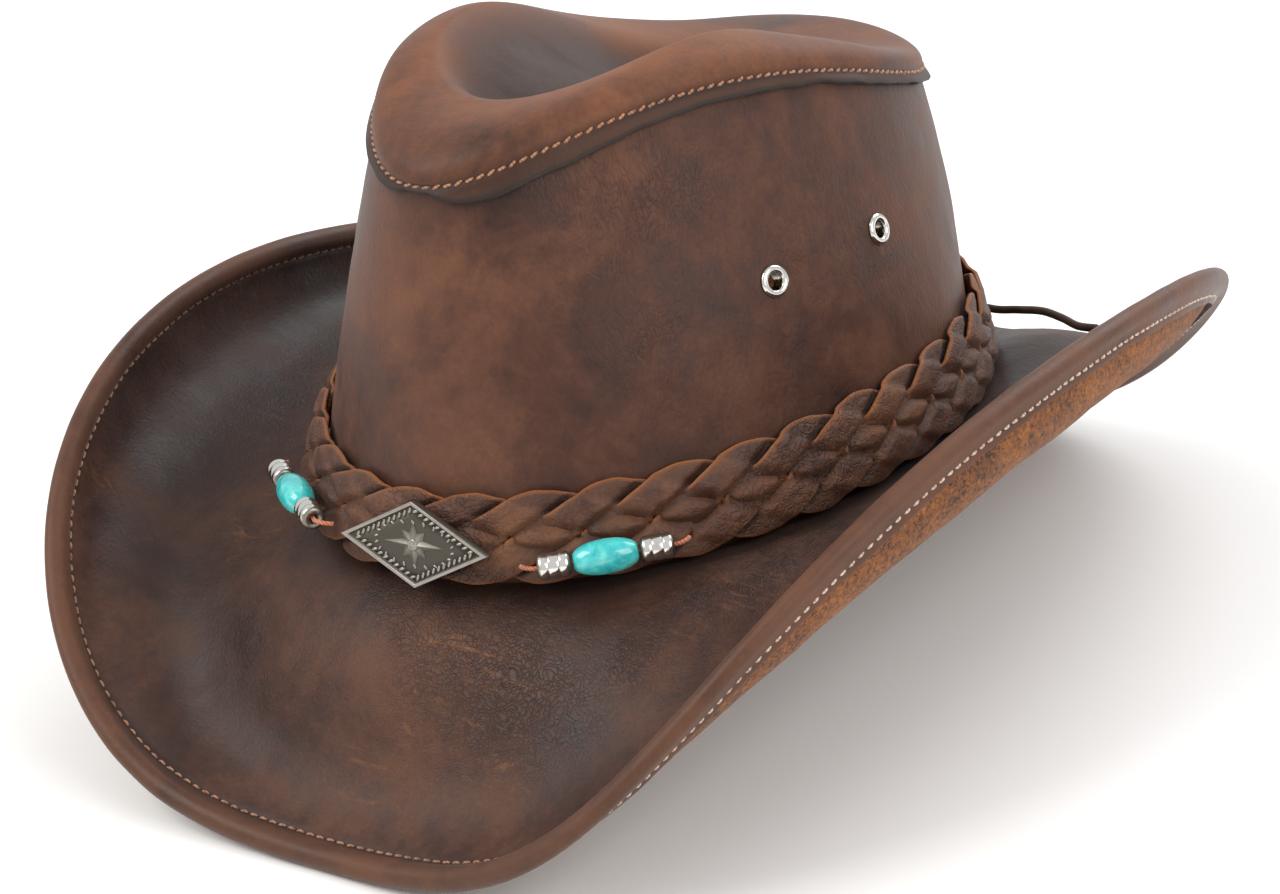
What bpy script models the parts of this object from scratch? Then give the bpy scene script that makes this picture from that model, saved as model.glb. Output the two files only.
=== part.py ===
"""A braided-band leather cowboy hat, built from its separate pieces.

Sizes are in millimetres and are turned into metres where a mesh is made.
+Z is up, -Y is the front of the hat and +X is the wearer's left.  An angle of 0 is
the front of the hat, and 90 degrees is the wearer's left.
"""

import math

import bmesh
import bpy
import numpy as np
from mathutils import Matrix, Vector

MM = 0.001
GAP = 0.3

# The head opening, measured on the outside of the crown where it meets the brim.
HEAD_HALF_LENGTH = 105.0
HEAD_HALF_WIDTH = 85.0
HEAD_SADDLE = 2.3
HEAD_TILT = 0.8

# Leather thicknesses.
WALL_LEATHER = 1.8
TIP_LEATHER = 1.6
BRIM_LEATHER = 1.6
SWEATBAND_LEATHER = 1.0

# The brim: how far it reaches past the crown, and how its edge rises and falls.
BRIM_SIDE_REACH = 54.5
BRIM_END_REACH = 59.0
BRIM_SQUARENESS = 22.7
BRIM_DROP = 58.8
BRIM_RISE = 41.3
BRIM_LEAN = 3.1
BRIM_FLATNESS = 5.8
BRIM_RIPPLE = 1.7
LEFT_SWEEP = 18.0
LEFT_SWEEP_ANGLE = 134.0
LEFT_SWEEP_SPREAD = 27.0
RIGHT_SAG = 9.7
RIGHT_SAG_ANGLE = -108.0
RIGHT_SAG_SPREAD = 26.0
BRIM_START_SLOPE = (-0.176, -0.047, -0.100)
# Where the brim leaves the crown less steeply: the extra slope, its middle and spread.
BRIM_START_SWELLS = ((0.35, 45.0, 20.0), (0.45, 95.0, 22.0), (0.6, 130.0, 17.0))
BRIM_END_SLOPE = (0.715, 0.309, -1.230)
BRIM_FULLNESS = 0.47
SEAM_ALLOWANCE = 6.0
SEAM_DIP = 1.2

# The folded edge of the brim and the wire inside it.
BRIM_WIDTH = 90.0
HEM_WIDTH = 8.5
HEM_STITCH_INSET = 6.4
WIRE_RADIUS = 0.85
WIRE_SLACK = 0.65
THREAD_RADIUS = 0.4

# The crown: the line of the seam between its wall and its tip.
SEAM_HEIGHT = (102.2, 13.5, -7.6, -4.5, 0.9)
SEAM_HALF_WIDTH = 57.8
SEAM_FRONT_PINCH = 14.4
SEAM_HALF_LENGTH = 94.3
SEAM_SHIFT = 10.3
WALL_BULGE = 2.6
TIP_LAP = 7.0
TIP_STITCH_DROP = 2.0
WALL_STOP = 0.8

# The tip: its ridge and the crease between.
RIDGE_RISE = (7.0, 2.0, 0.0, 1.5, 0.4)
RIDGE_HALF_WIDTH = 43.7
RIDGE_HALF_LENGTH = 66.5
RIDGE_SHIFT = 9.5
CREASE_DEPTH = 24.0
CREASE_HALF_LENGTH = 44.0
CREASE_SHIFT = 12.0

SWEATBAND_HEIGHT = 34.0

# The eyelets in each side of the crown.
EYELET_HEIGHT = 62.5
EYELET_ANGLE = 83.5
EYELET_SPREAD = 12.0
EYELET_FLANGE_RADIUS = 4.5
EYELET_BARREL_RADIUS = 3.0
EYELET_HOLE_RADIUS = 2.3
EYELET_PROUD = 1.1
WASHER_THICKNESS = 0.6
WASHER_GAP = 0.7
WASHER_RADIUS = 4.6

# The braided band.
STRANDS = 4
BRAID_TURNS = 8
STRAND_WIDTH = 5.0
STRAND_LEATHER = 1.3
STRAND_LIFT = 2.0
STRAND_HOLD = 0.033
STRAND_SHARPNESS = 0.07
BRAID_HEIGHT = 23.8
BRAID_CENTRE_HEIGHT = 13.9
BRAID_LEAN = 0.16
CROSSINGS = 2 * STRANDS
OVER_UNDER = (0, -1, 1, -1, 0, 1, -1, 1)

# The metal plate on the front of the band.
CONCHO_ANGLE = 3.5
CONCHO_DROP = 1.0
CONCHO_HALF_WIDTH = 23.8
CONCHO_HALF_HEIGHT = 12.0
CONCHO_THICKNESS = 1.6
CONCHO_BORDER = 2.2
CONCHO_BORDER_RISE = 0.8

# The bead sets.
BEAD_SET_ANGLE = 31.0
BEAD_DROP_LEFT = 4.5
BEAD_DROP_RIGHT = 1.0
STONE_RADIUS = 4.7
STONE_HALF_LENGTH = 9.0
METAL_BEAD_RADIUS = 3.5
METAL_BEAD_HALF_LENGTH = 4.4
BEAD_BORE_RADIUS = 1.0
BEAD_THREAD_RADIUS = 0.6

# The lace that ties the band at the back.
LACE_RADIUS = 1.25
KNOT_RADIUS = 4.0
KNOT_HALF_LENGTH = 5.0
KNOT_ANGLE = 176.0

AROUND = 48


def series(values, angle):
    """The sum of values[k] times the cosine of k times the angle."""
    return sum(value * math.cos(k * angle) for k, value in enumerate(values))


def swell(angle, centre_degrees, spread_degrees):
    """A smooth rise of one around an angle."""
    away = (math.degrees(angle) - centre_degrees + 180.0) % 360.0 - 180.0
    return math.exp(-((away / spread_degrees) ** 2))


def head_normal(angle):
    """The level outward direction of the head opening at an angle."""
    across = math.sin(angle) / HEAD_HALF_WIDTH
    length = -math.cos(angle) / HEAD_HALF_LENGTH
    return Vector((across, length, 0.0)).normalized()


def head_line(angle, outward=0.0, height=0.0):
    """A point on the line where crown meets brim, moved outward and up."""
    rise = -HEAD_SADDLE * math.cos(2 * angle) + HEAD_TILT * math.cos(angle)
    across = HEAD_HALF_WIDTH * math.sin(angle)
    length = -HEAD_HALF_LENGTH * math.cos(angle)
    return Vector((across, length, rise + height)) + head_normal(angle) * outward


def seam_line(angle):
    """A point on the seam between the crown's wall and its tip."""
    across = (SEAM_HALF_WIDTH - SEAM_FRONT_PINCH * math.cos(angle)) * math.sin(angle)
    length = -SEAM_HALF_LENGTH * math.cos(angle) + SEAM_SHIFT
    return Vector((across, length, series(SEAM_HEIGHT, angle)))


def wall_point(angle, share, outward=0.0):
    """A point on the crown's wall: a share of 0 is its foot and 1 its tip seam."""
    point = head_line(angle).lerp(seam_line(angle), share)
    bulge = WALL_BULGE * 4.0 * share * (1.0 - share)
    return point + head_normal(angle) * (bulge + outward)


def wall_share(angle, height):
    """The share of the way up the wall at which it reaches a height."""
    foot = head_line(angle).z
    return (height - foot) / (seam_line(angle).z - foot)


def wall_normal(angle, share):
    """The outward direction square to the crown's wall."""
    step = 0.01
    around = wall_point(angle + step, share) - wall_point(angle - step, share)
    up = wall_point(angle, share + step) - wall_point(angle, share - step)
    return around.cross(up).normalized()


def rim_line(angle):
    """A point on the outer edge of the brim."""
    half_width = HEAD_HALF_WIDTH + BRIM_SIDE_REACH
    half_length = HEAD_HALF_LENGTH + BRIM_END_REACH
    length = (half_length + BRIM_SQUARENESS) * math.cos(angle)
    length -= BRIM_SQUARENESS * math.cos(3 * angle)
    rise = (BRIM_RISE - BRIM_DROP) / 2.0 - BRIM_FLATNESS
    rise -= ((BRIM_RISE + BRIM_DROP) / 2.0 + BRIM_RIPPLE) * math.cos(2 * angle)
    rise += BRIM_LEAN * (math.cos(angle) - math.cos(3 * angle))
    rise += BRIM_FLATNESS * math.cos(4 * angle) + BRIM_RIPPLE * math.cos(6 * angle)
    rise += LEFT_SWEEP * swell(angle, LEFT_SWEEP_ANGLE, LEFT_SWEEP_SPREAD)
    rise -= RIGHT_SAG * swell(angle, RIGHT_SAG_ANGLE, RIGHT_SAG_SPREAD)
    return Vector((half_width * math.sin(angle), -length, rise))


def brim_section(angle):
    """The four control points of the brim's curve in one upright plane."""
    start = head_line(angle, 0.0, -WALL_LEATHER / 2 - GAP - BRIM_LEATHER / 2)
    end = rim_line(angle)
    level = Vector((end.x - start.x, end.y - start.y, 0.0)).normalized()
    reach = (end - start).length * BRIM_FULLNESS
    first = series(BRIM_START_SLOPE, angle)
    first += sum(rise * swell(angle, *place) for rise, *place in BRIM_START_SWELLS)
    last = series(BRIM_END_SLOPE, angle)
    leave = level * math.cos(first) + Vector((0.0, 0.0, math.sin(first)))
    arrive = level * math.cos(last) + Vector((0.0, 0.0, math.sin(last)))
    return start, start + leave * reach, end - arrive * reach, end


def bezier(points, share):
    """A point on the curve with these control points."""
    points = list(points)
    while len(points) > 1:
        points = [a.lerp(b, share) for a, b in zip(points, points[1:])]
    return points[0]


def brim_frame(angle, share):
    """A point on the brim with its outward and upward directions."""
    section = brim_section(angle)
    here = bezier(section, share)
    step = 0.01
    ahead = bezier(section, min(share + step, 1.0))
    behind = bezier(section, max(share - step, 0.0))
    outward = (ahead - behind).normalized()
    level = Vector((section[3].x - section[0].x, section[3].y - section[0].y, 0.0))
    upward = level.cross(Vector((0.0, 0.0, 1.0))).cross(outward).normalized()
    return here, outward, upward


def brim_point(angle, share, above=0.0):
    """A point on the brim, moved along its upward direction."""
    here, _, upward = brim_frame(angle, share)
    return here + upward * above


def hem_profile():
    """The folded edge, as steps outward and upward from the brim's edge."""
    bend = WIRE_RADIUS + GAP + BRIM_LEATHER / 2 + WIRE_SLACK
    return_drop = BRIM_LEATHER + GAP
    profile = []
    for degrees in (125, 80, 40, 0, -40, -80, -125):
        turn = math.radians(degrees)
        out = bend * (math.cos(turn) - 1.0)
        profile.append((out, bend * math.sin(turn) - return_drop / 2))
    profile.append((-bend * 2.4, -return_drop - 0.05))
    profile.append((-HEM_WIDTH, -return_drop))
    return profile


HEM_PROFILE = hem_profile()
STITCH_SHARE = 1.0 - HEM_STITCH_INSET / BRIM_WIDTH
BRIM_ROWS = (0.0, 0.14, 0.28, 0.42, 0.56, 0.70, 0.82, STITCH_SHARE, 0.945)


def brim_row(angle, row):
    """The points of the brim from its seam allowance out to the hem's inner edge."""
    inset = WALL_LEATHER / 2 + GAP + BRIM_LEATHER / 2
    if row == 0:
        share = wall_share(angle, head_line(angle).z + SEAM_ALLOWANCE)
        return wall_point(angle, share, -inset)
    if row == 1:
        return head_line(angle, -inset, -SEAM_DIP)
    row -= 2
    if row < len(BRIM_ROWS):
        return brim_point(angle, BRIM_ROWS[row])
    out, above = HEM_PROFILE[row - len(BRIM_ROWS)]
    here, outward, upward = brim_frame(angle, 1.0)
    if out < -6.0:
        here, outward, upward = brim_frame(angle, 1.0 + out / BRIM_WIDTH)
        out = 0.0
    return here + outward * out + upward * above


def tip_edge_share(angle):
    """The share of the wall's height at which the tip's lap ends."""
    return 1.0 - TIP_LAP / seam_line(angle).z


TIP_OUT = WALL_LEATHER / 2 + GAP + TIP_LEATHER / 2


def ridge_line(angle):
    """A point on the ridge round the top of the crown."""
    across = RIDGE_HALF_WIDTH * math.sin(angle)
    length = -RIDGE_HALF_LENGTH * math.cos(angle) + RIDGE_SHIFT
    height = seam_line(angle).z + series(RIDGE_RISE, angle)
    return Vector((across, length, height))


def crease_line(angle):
    """A point on the floor of the crease, the same for both sides."""
    length = -CREASE_HALF_LENGTH * math.cos(angle) + CREASE_SHIFT
    height = (ridge_line(angle).z + ridge_line(-angle).z) / 2 - CREASE_DEPTH
    return Vector((0.0, length, height))


TIP_ROWS = 13


def tip_point(angle, row):
    """The points of the tip from its lap edge over the ridge to the crease."""
    seam = wall_point(angle, 1.0, TIP_OUT)
    if row == 0:
        return wall_point(angle, tip_edge_share(angle), TIP_OUT)
    if row == 1:
        return seam
    ridge = ridge_line(angle)
    rise = (seam - wall_point(angle, 0.9, TIP_OUT)).normalized()
    shoulder = seam + rise * ((ridge.z - seam.z) / max(rise.z, 0.3) * 0.9)
    if row <= 6:
        return bezier((seam, shoulder, ridge), (row - 1) / 5.0)
    floor = crease_line(angle)
    over = ridge + (ridge - shoulder) * 0.45
    inward = floor + Vector((ridge.x - floor.x, ridge.y - floor.y, 0.0)) * 0.55
    return bezier((ridge, over, inward, floor), (row - 6) / (TIP_ROWS - 6.0))


def material(name, colour, metallic=0.0, roughness=0.7):
    """A plain material of one colour."""
    made = bpy.data.materials.new(name)
    made.use_nodes = True
    shader = made.node_tree.nodes["Principled BSDF"]
    shader.inputs["Base Color"].default_value = (*colour, 1.0)
    shader.inputs["Metallic"].default_value = metallic
    shader.inputs["Roughness"].default_value = roughness
    made.diffuse_color = (*colour, 1.0)
    return made


def clear_scene():
    """Empties the startup scene."""
    for obj in list(bpy.data.objects):
        bpy.data.objects.remove(obj, do_unlink=True)


clear_scene()
HAT = bpy.data.collections.new("cowboy_hat")
bpy.context.scene.collection.children.link(HAT)
CUTTERS = bpy.data.collections.new("cutters")
bpy.context.scene.collection.children.link(CUTTERS)

CROWN_LEATHER = material("crown_leather", (0.10, 0.045, 0.030))
TIP_COLOUR = material("tip_leather", (0.17, 0.072, 0.040))
BRIM_COLOUR = material("brim_leather", (0.075, 0.035, 0.022))
SWEAT_COLOUR = material("sweatband_leather", (0.30, 0.16, 0.08))
BRAID_COLOUR = material("braid_leather", (0.11, 0.050, 0.030))
LACE_COLOUR = material("lace_leather", (0.045, 0.022, 0.013))
THREAD_COLOUR = material("stitch_thread", (0.50, 0.28, 0.16))
WIRE_STEEL = material("spring_wire", (0.50, 0.50, 0.50), 1.0, 0.35)
EYELET_METAL = material("eyelet_metal", (0.62, 0.61, 0.58), 1.0, 0.25)
CONCHO_METAL = material("aged_silver", (0.30, 0.28, 0.25), 1.0, 0.45)
BEAD_METAL = material("bead_silver", (0.60, 0.58, 0.54), 1.0, 0.30)
BEAD_STONE = material("turquoise", (0.08, 0.50, 0.46), 0.0, 0.30)
COPPER_THREAD = material("copper_thread", (0.45, 0.15, 0.06), 0.3, 0.5)


def add(name, data, colour, collection=None):
    """Adds an object with one material."""
    obj = bpy.data.objects.new(name, data)
    data.materials.append(colour)
    (collection or HAT).objects.link(obj)
    return obj


def sheet(name, across, rows, place, colour, origin=(0.0, 0.0, 0.0)):
    """A grid laid on a surface: place(turn, row) gives each point in millimetres."""
    bm = bmesh.new()
    bmesh.ops.create_grid(bm, x_segments=across, y_segments=rows, size=0.5)
    for vert in bm.verts:
        turn = vert.co.x + 0.5
        row = round((vert.co.y + 0.5) * rows)
        vert.co = (place(turn, row) - Vector(origin)) * MM
    bmesh.ops.remove_doubles(bm, verts=bm.verts, dist=0.00001)
    bmesh.ops.recalc_face_normals(bm, faces=bm.faces)
    mesh = bpy.data.meshes.new(name)
    bm.to_mesh(mesh)
    bm.free()
    for face in mesh.polygons:
        face.use_smooth = True
    obj = add(name, mesh, colour)
    obj.location = Vector(origin) * MM
    return obj


def solidify(obj, thickness):
    """Gives a sheet its thickness, half to each side."""
    skin = obj.modifiers.new("leather_thickness", "SOLIDIFY")
    skin.thickness = thickness * MM
    skin.offset = 0.0
    skin.use_even_offset = True
    skin.use_rim = True
    return skin


def tube(name, points, radius, colour, cyclic=False, resolution=0, origin=(0.0, 0.0, 0.0)):
    """A round tube through points in millimetres."""
    curve = bpy.data.curves.new(name, "CURVE")
    curve.dimensions = "3D"
    curve.bevel_depth = radius * MM
    curve.bevel_resolution = resolution
    curve.use_fill_caps = True
    spline = curve.splines.new("POLY")
    spline.points.add(len(points) - 1)
    spline.use_cyclic_u = cyclic
    for slot, point in zip(spline.points, points):
        slot.co = (*((Vector(point) - Vector(origin)) * MM), 1.0)
    obj = add(name, curve, colour)
    obj.location = Vector(origin) * MM
    return obj


def facing(centre, direction, up=Vector((0.0, 0.0, 1.0))):
    """A placement whose Z axis points along the direction."""
    z = Vector(direction).normalized()
    x = up.cross(z).normalized()
    y = z.cross(x)
    turn = Matrix((x, y, z)).transposed().to_4x4()
    turn.translation = Vector(centre) * MM
    return turn


def turned(name, profile, placement, colour, steps=12, collection=None):
    """A turned solid: profile is a closed loop of (radius, height) pairs."""
    mesh = bpy.data.meshes.new(name)
    bm = bmesh.new()
    verts = [bm.verts.new((r * MM, 0.0, z * MM)) for r, z in profile]
    for a, b in zip(verts, verts[1:] + verts[:1]):
        bm.edges.new((a, b))
    bm.to_mesh(mesh)
    bm.free()
    obj = add(name, mesh, colour, collection)
    screw = obj.modifiers.new("turning", "SCREW")
    screw.axis = "Z"
    screw.steps = steps
    screw.render_steps = steps
    screw.use_merge_vertices = True
    screw.merge_threshold = 0.00001
    screw.use_normal_flip = True
    screw.use_smooth_shade = True
    obj.matrix_world = placement
    return obj


def post(name, radius, half_length, placement, colour, collection=None, sides=12):
    """A plain round rod, centred on its placement."""
    bm = bmesh.new()
    bmesh.ops.create_cone(
        bm,
        cap_ends=True,
        segments=sides,
        radius1=radius * MM,
        radius2=radius * MM,
        depth=2 * half_length * MM,
    )
    mesh = bpy.data.meshes.new(name)
    bm.to_mesh(mesh)
    bm.free()
    obj = add(name, mesh, colour, collection)
    obj.matrix_world = placement
    return obj


def as_helper(obj):
    """Marks an object as a cutter or other helper, which isn't a piece of the hat."""
    obj.hide_render = True
    obj.display_type = "WIRE"
    return obj


def boolean(obj, other, operation):
    """Cuts or joins with a helper."""
    step = obj.modifiers.new(other.name, "BOOLEAN")
    step.object = other
    step.operation = operation
    step.solver = "EXACT"
    return step


def full_turn(turn):
    """The angle at a share of a full turn."""
    return 2.0 * math.pi * (turn % 1.0)


# The crown's wall, tip, brim and sweatband.
WALL_ROWS = 5


def wall_row(turn, row):
    """The wall runs up to just short of the tip's shoulder, under its lap."""
    angle = full_turn(turn)
    top = 1.0 - WALL_STOP / seam_line(angle).z
    return wall_point(angle, top * row / WALL_ROWS)


def sweatband_row(turn, row):
    """The sweatband stands inside the brim's seam allowance, with a level lower edge."""
    angle = full_turn(turn)
    inset = WALL_LEATHER / 2 + GAP + BRIM_LEATHER + GAP + SWEATBAND_LEATHER / 2
    low = -HEAD_SADDLE - HEAD_TILT - 0.5
    height = low + (SWEATBAND_HEIGHT - low) * row / 3.0
    share = max(wall_share(angle, height), 0.0)
    point = wall_point(angle, share, -inset)
    point.z = height
    return point


crown_wall = sheet("crown_wall", AROUND, WALL_ROWS, wall_row, CROWN_LEATHER)
solidify(crown_wall, WALL_LEATHER)
crown_tip = sheet(
    "crown_tip", AROUND, TIP_ROWS, lambda turn, row: tip_point(full_turn(turn), row), TIP_COLOUR
)
solidify(crown_tip, TIP_LEATHER)
brim = sheet(
    "brim",
    AROUND,
    1 + len(BRIM_ROWS) + len(HEM_PROFILE),
    lambda turn, row: brim_row(full_turn(turn), row),
    BRIM_COLOUR,
)
solidify(brim, BRIM_LEATHER)
sweatband = sheet("sweatband", AROUND, 3, sweatband_row, SWEAT_COLOUR)
solidify(sweatband, SWEATBAND_LEATHER)

RING = [full_turn(i / AROUND) for i in range(AROUND)]


def wire_point(angle):
    """The centre of the fold round the wire."""
    bend = WIRE_RADIUS + GAP + BRIM_LEATHER / 2 + WIRE_SLACK
    here, outward, upward = brim_frame(angle, 1.0)
    return here - outward * bend - upward * (BRIM_LEATHER + GAP) / 2


tube("brim_wire", [wire_point(a) for a in RING], WIRE_RADIUS, WIRE_STEEL, True)
STITCH_LIFT = GAP + THREAD_RADIUS + 0.15


def tip_stitch(angle):
    """The stitch line that joins the tip's lap to the wall."""
    share = 1.0 - TIP_STITCH_DROP / seam_line(angle).z
    return wall_point(angle, share, TIP_OUT + TIP_LEATHER / 2 + STITCH_LIFT)


tube(
    "brim_hem_thread",
    [brim_point(a, STITCH_SHARE, BRIM_LEATHER / 2 + STITCH_LIFT) for a in RING],
    THREAD_RADIUS,
    THREAD_COLOUR,
    True,
)
tube(
    "tip_seam_thread",
    [tip_stitch(a) for a in RING],
    THREAD_RADIUS,
    THREAD_COLOUR,
    True,
)


def sweatband_stitch(turn):
    """The stitch line inside the sweatband, low down."""
    point = sweatband_row(turn, 0).lerp(sweatband_row(turn, 1), 0.5)
    return point - head_normal(full_turn(turn)) * (SWEATBAND_LEATHER / 2 + STITCH_LIFT)


SWEATBAND_STITCHES = [sweatband_stitch(i / AROUND) for i in range(AROUND)]
tube("sweatband_thread", SWEATBAND_STITCHES, THREAD_RADIUS, THREAD_COLOUR, True)


# The eyelets: each is a flanged tube through the wall with a washer inside.
def eyelet(name, angle):
    """One eyelet, its washer and the hole in the wall for it."""
    share = wall_share(angle, EYELET_HEIGHT)
    normal = wall_normal(angle, share)
    placement = facing(wall_point(angle, share), normal)
    face = WALL_LEATHER / 2
    flange = face + GAP
    washer_face = -face - WASHER_GAP
    back = washer_face - WASHER_THICKNESS - GAP
    profile = [
        (EYELET_HOLE_RADIUS, back),
        (EYELET_BARREL_RADIUS, back),
        (EYELET_BARREL_RADIUS, flange),
        (EYELET_FLANGE_RADIUS, flange),
        (EYELET_FLANGE_RADIUS * 0.92, flange + EYELET_PROUD * 0.65),
        (EYELET_FLANGE_RADIUS * 0.75, flange + EYELET_PROUD),
        (EYELET_HOLE_RADIUS * 1.2, flange + EYELET_PROUD * 0.7),
        (EYELET_HOLE_RADIUS, flange + EYELET_PROUD * 0.2),
    ]
    turned(name, profile, placement, EYELET_METAL)
    inner = EYELET_BARREL_RADIUS + GAP
    washer = [
        (inner, washer_face - WASHER_THICKNESS),
        (WASHER_RADIUS, washer_face - WASHER_THICKNESS),
        (WASHER_RADIUS, washer_face),
        (inner, washer_face),
    ]
    turned(name + "_washer", washer, placement, EYELET_METAL)
    hole = post(name + "_hole", inner, 4.0, placement, EYELET_METAL, CUTTERS, 16)
    boolean(crown_wall, as_helper(hole), "DIFFERENCE")


for side, sign in (("left", 1.0), ("right", -1.0)):
    for place, offset in (("front", -EYELET_SPREAD), ("rear", EYELET_SPREAD)):
        eyelet("eyelet_" + side + "_" + place, math.radians(sign * (EYELET_ANGLE + offset)))


# The braided band. Its length is measured round the crown, so that the lobes are even.
SAMPLES = 721
STACK = STRAND_LIFT + STRAND_LEATHER / 2


def band_centre(angle, side=0.0, out=0.0):
    """A point on the band's middle surface; side runs up it and out away from the crown."""
    height = BRAID_CENTRE_HEIGHT + head_line(angle).z + side * math.cos(BRAID_LEAN)
    share = wall_share(angle, height)
    clear = WALL_LEATHER / 2 + GAP + STACK
    spread = (BRAID_HEIGHT / 2 - side) * math.sin(BRAID_LEAN)
    point = wall_point(angle, share, clear + spread)
    return point + band_normal(angle) * out


def band_normal(angle):
    """The outward direction square to the band."""
    level = head_normal(angle)
    tilt = Vector((0.0, 0.0, math.sin(BRAID_LEAN)))
    return (level * math.cos(BRAID_LEAN) + tilt).normalized()


def band_table():
    """Angles at even lengths round the band."""
    angles = np.linspace(0.0, 2.0 * math.pi, SAMPLES)
    points = np.array([band_centre(float(a)) for a in angles])
    steps = np.linalg.norm(np.diff(points, axis=0), axis=1)
    return angles, np.concatenate([[0.0], np.cumsum(steps)])


BAND_ANGLES, BAND_LENGTHS = band_table()
BAND_LENGTH = float(BAND_LENGTHS[-1])


def band_angle(turn):
    """The angle at a share of the band's length."""
    return float(np.interp((turn % 1.0) * BAND_LENGTH, BAND_LENGTHS, BAND_ANGLES))


def weave(phase):
    """How far a strand stands over (+) or under (-) the middle, from -1 to 1."""
    place = (phase % 1.0) * CROSSINGS
    first = int(place)
    share = place - first
    slack = STRAND_HOLD * CROSSINGS
    ease = min(max((share - slack) / (1.0 - 2.0 * slack), 0.0), 1.0)
    low = OVER_UNDER[first % CROSSINGS]
    high = OVER_UNDER[(first + 1) % CROSSINGS]
    return low + (high - low) * ease


def strand_centre(index, turn):
    """The middle of a strand at a share of the band's length."""
    phase = turn * BRAID_TURNS + index / STRANDS
    swing = (BRAID_HEIGHT - STRAND_WIDTH) / 2
    swerve = math.cos(2.0 * math.pi * phase) + STRAND_SHARPNESS * math.cos(6.0 * math.pi * phase)
    side = swing * swerve / (1.0 + STRAND_SHARPNESS)
    return band_centre(band_angle(turn), side, STRAND_LIFT * weave(phase))


def strand(index):
    """One closed strand of the braid, as a flat strip."""
    stations = BRAID_TURNS * CROSSINGS * 2
    corners = ((-0.5, -0.5), (0.5, -0.5), (0.5, 0.5), (-0.5, 0.5))

    def place(turn, row):
        station = round(turn * stations) % stations
        way = STRAND_HOLD if station % 2 else -STRAND_HOLD
        whole = (station // 2 / CROSSINGS + way) / BRAID_TURNS
        step = 0.2 / stations
        centre = strand_centre(index, whole)
        ahead = strand_centre(index, whole + step) - strand_centre(index, whole - step)
        normal = band_normal(band_angle(whole))
        side = normal.cross(ahead).normalized()
        width, thickness = corners[row % 4]
        return centre + side * (width * STRAND_WIDTH) + normal * (thickness * STRAND_LEATHER)

    return sheet(f"hatband_strand_{index + 1}", stations, 4, place, BRAID_COLOUR)


for strand_number in range(STRANDS):
    strand(strand_number)


# The plate on the front of the band, with a raised border.
def concho():
    """The diamond plate."""
    angle = math.radians(CONCHO_ANGLE)
    normal = band_normal(angle)
    centre = band_centre(angle, -CONCHO_DROP, STACK + GAP + 0.9)
    placement = facing(centre, normal)
    bm = bmesh.new()
    outline = (
        (CONCHO_HALF_WIDTH, 0.0),
        (0.0, CONCHO_HALF_HEIGHT),
        (-CONCHO_HALF_WIDTH, 0.0),
        (0.0, -CONCHO_HALF_HEIGHT),
    )
    face = bm.faces.new([bm.verts.new((x * MM, y * MM, 0.0)) for x, y in outline])
    raised = bmesh.ops.extrude_face_region(bm, geom=[face])
    top = [item for item in raised["geom"] if isinstance(item, bmesh.types.BMVert)]
    bmesh.ops.translate(bm, verts=top, vec=(0.0, 0.0, (CONCHO_THICKNESS + CONCHO_BORDER_RISE) * MM))
    cap = [item for item in raised["geom"] if isinstance(item, bmesh.types.BMFace)]
    bmesh.ops.inset_region(
        bm, faces=cap, thickness=CONCHO_BORDER * MM, depth=-CONCHO_BORDER_RISE * MM
    )
    bmesh.ops.recalc_face_normals(bm, faces=bm.faces)
    mesh = bpy.data.meshes.new("concho")
    bm.to_mesh(mesh)
    bm.free()
    plate = add("concho", mesh, CONCHO_METAL)
    plate.matrix_world = placement
    return plate


concho()


# The bead sets: a stone between two metal beads on a thread.
def bead_set(side, sign, drop):
    """One thread and its three beads, an even way round from the plate."""
    angle = math.radians(CONCHO_ANGLE + sign * BEAD_SET_ANGLE)
    normal = band_normal(angle)
    step = math.radians(1.0)
    ahead = band_centre(angle + step) - band_centre(angle - step)
    along = (ahead - normal * ahead.dot(normal)).normalized() * sign
    centre = band_centre(angle, -drop, STACK + GAP + STONE_RADIUS + 0.4)
    bore = BEAD_BORE_RADIUS
    length = STONE_HALF_LENGTH
    stone = [
        (bore, -length),
        (STONE_RADIUS * 0.55, -length),
        (STONE_RADIUS * 0.84, -length * 0.7),
        (STONE_RADIUS, -length * 0.25),
        (STONE_RADIUS, length * 0.25),
        (STONE_RADIUS * 0.84, length * 0.7),
        (STONE_RADIUS * 0.55, length),
        (bore, length),
    ]
    turned(f"stone_bead_{side}", stone, facing(centre, along), BEAD_STONE)
    half = METAL_BEAD_HALF_LENGTH
    rim = METAL_BEAD_RADIUS
    metal = [
        (bore, -half),
        (rim * 0.8, -half),
        (rim, -half * 0.7),
        (rim * 0.86, -half * 0.3),
        (rim, 0.0),
        (rim * 0.86, half * 0.3),
        (rim, half * 0.7),
        (rim * 0.8, half),
        (bore, half),
    ]
    apart = length + GAP + half
    for name, way in (("front", -1.0), ("rear", 1.0)):
        place = facing(centre + along * (apart * way), along)
        turned(f"metal_bead_{side}_{name}", metal, place, BEAD_METAL)
    reach = apart + half
    points = []
    for way in (-1.0, 1.0):
        end = centre + along * ((reach + 4.0) * way) - normal * (STONE_RADIUS - 0.6)
        bend = centre + along * ((reach + 3.0) * way) - normal * 1.0
        start = centre + along * ((reach + 0.6) * way)
        curve = [bezier((start, bend, end), share) for share in (0.0, 0.25, 0.5, 0.75, 1.0)]
        points.append(curve)
    route = points[0][::-1] + points[1]
    tube(f"bead_thread_{side}", route, BEAD_THREAD_RADIUS, COPPER_THREAD, False, 2)


bead_set("left", 1.0, BEAD_DROP_LEFT)
bead_set("right", -1.0, BEAD_DROP_RIGHT)


# The lace at the back of the band, with its knot.
LACE_LIFT = BRIM_LEATHER / 2 + GAP + LACE_RADIUS + 0.3


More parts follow.
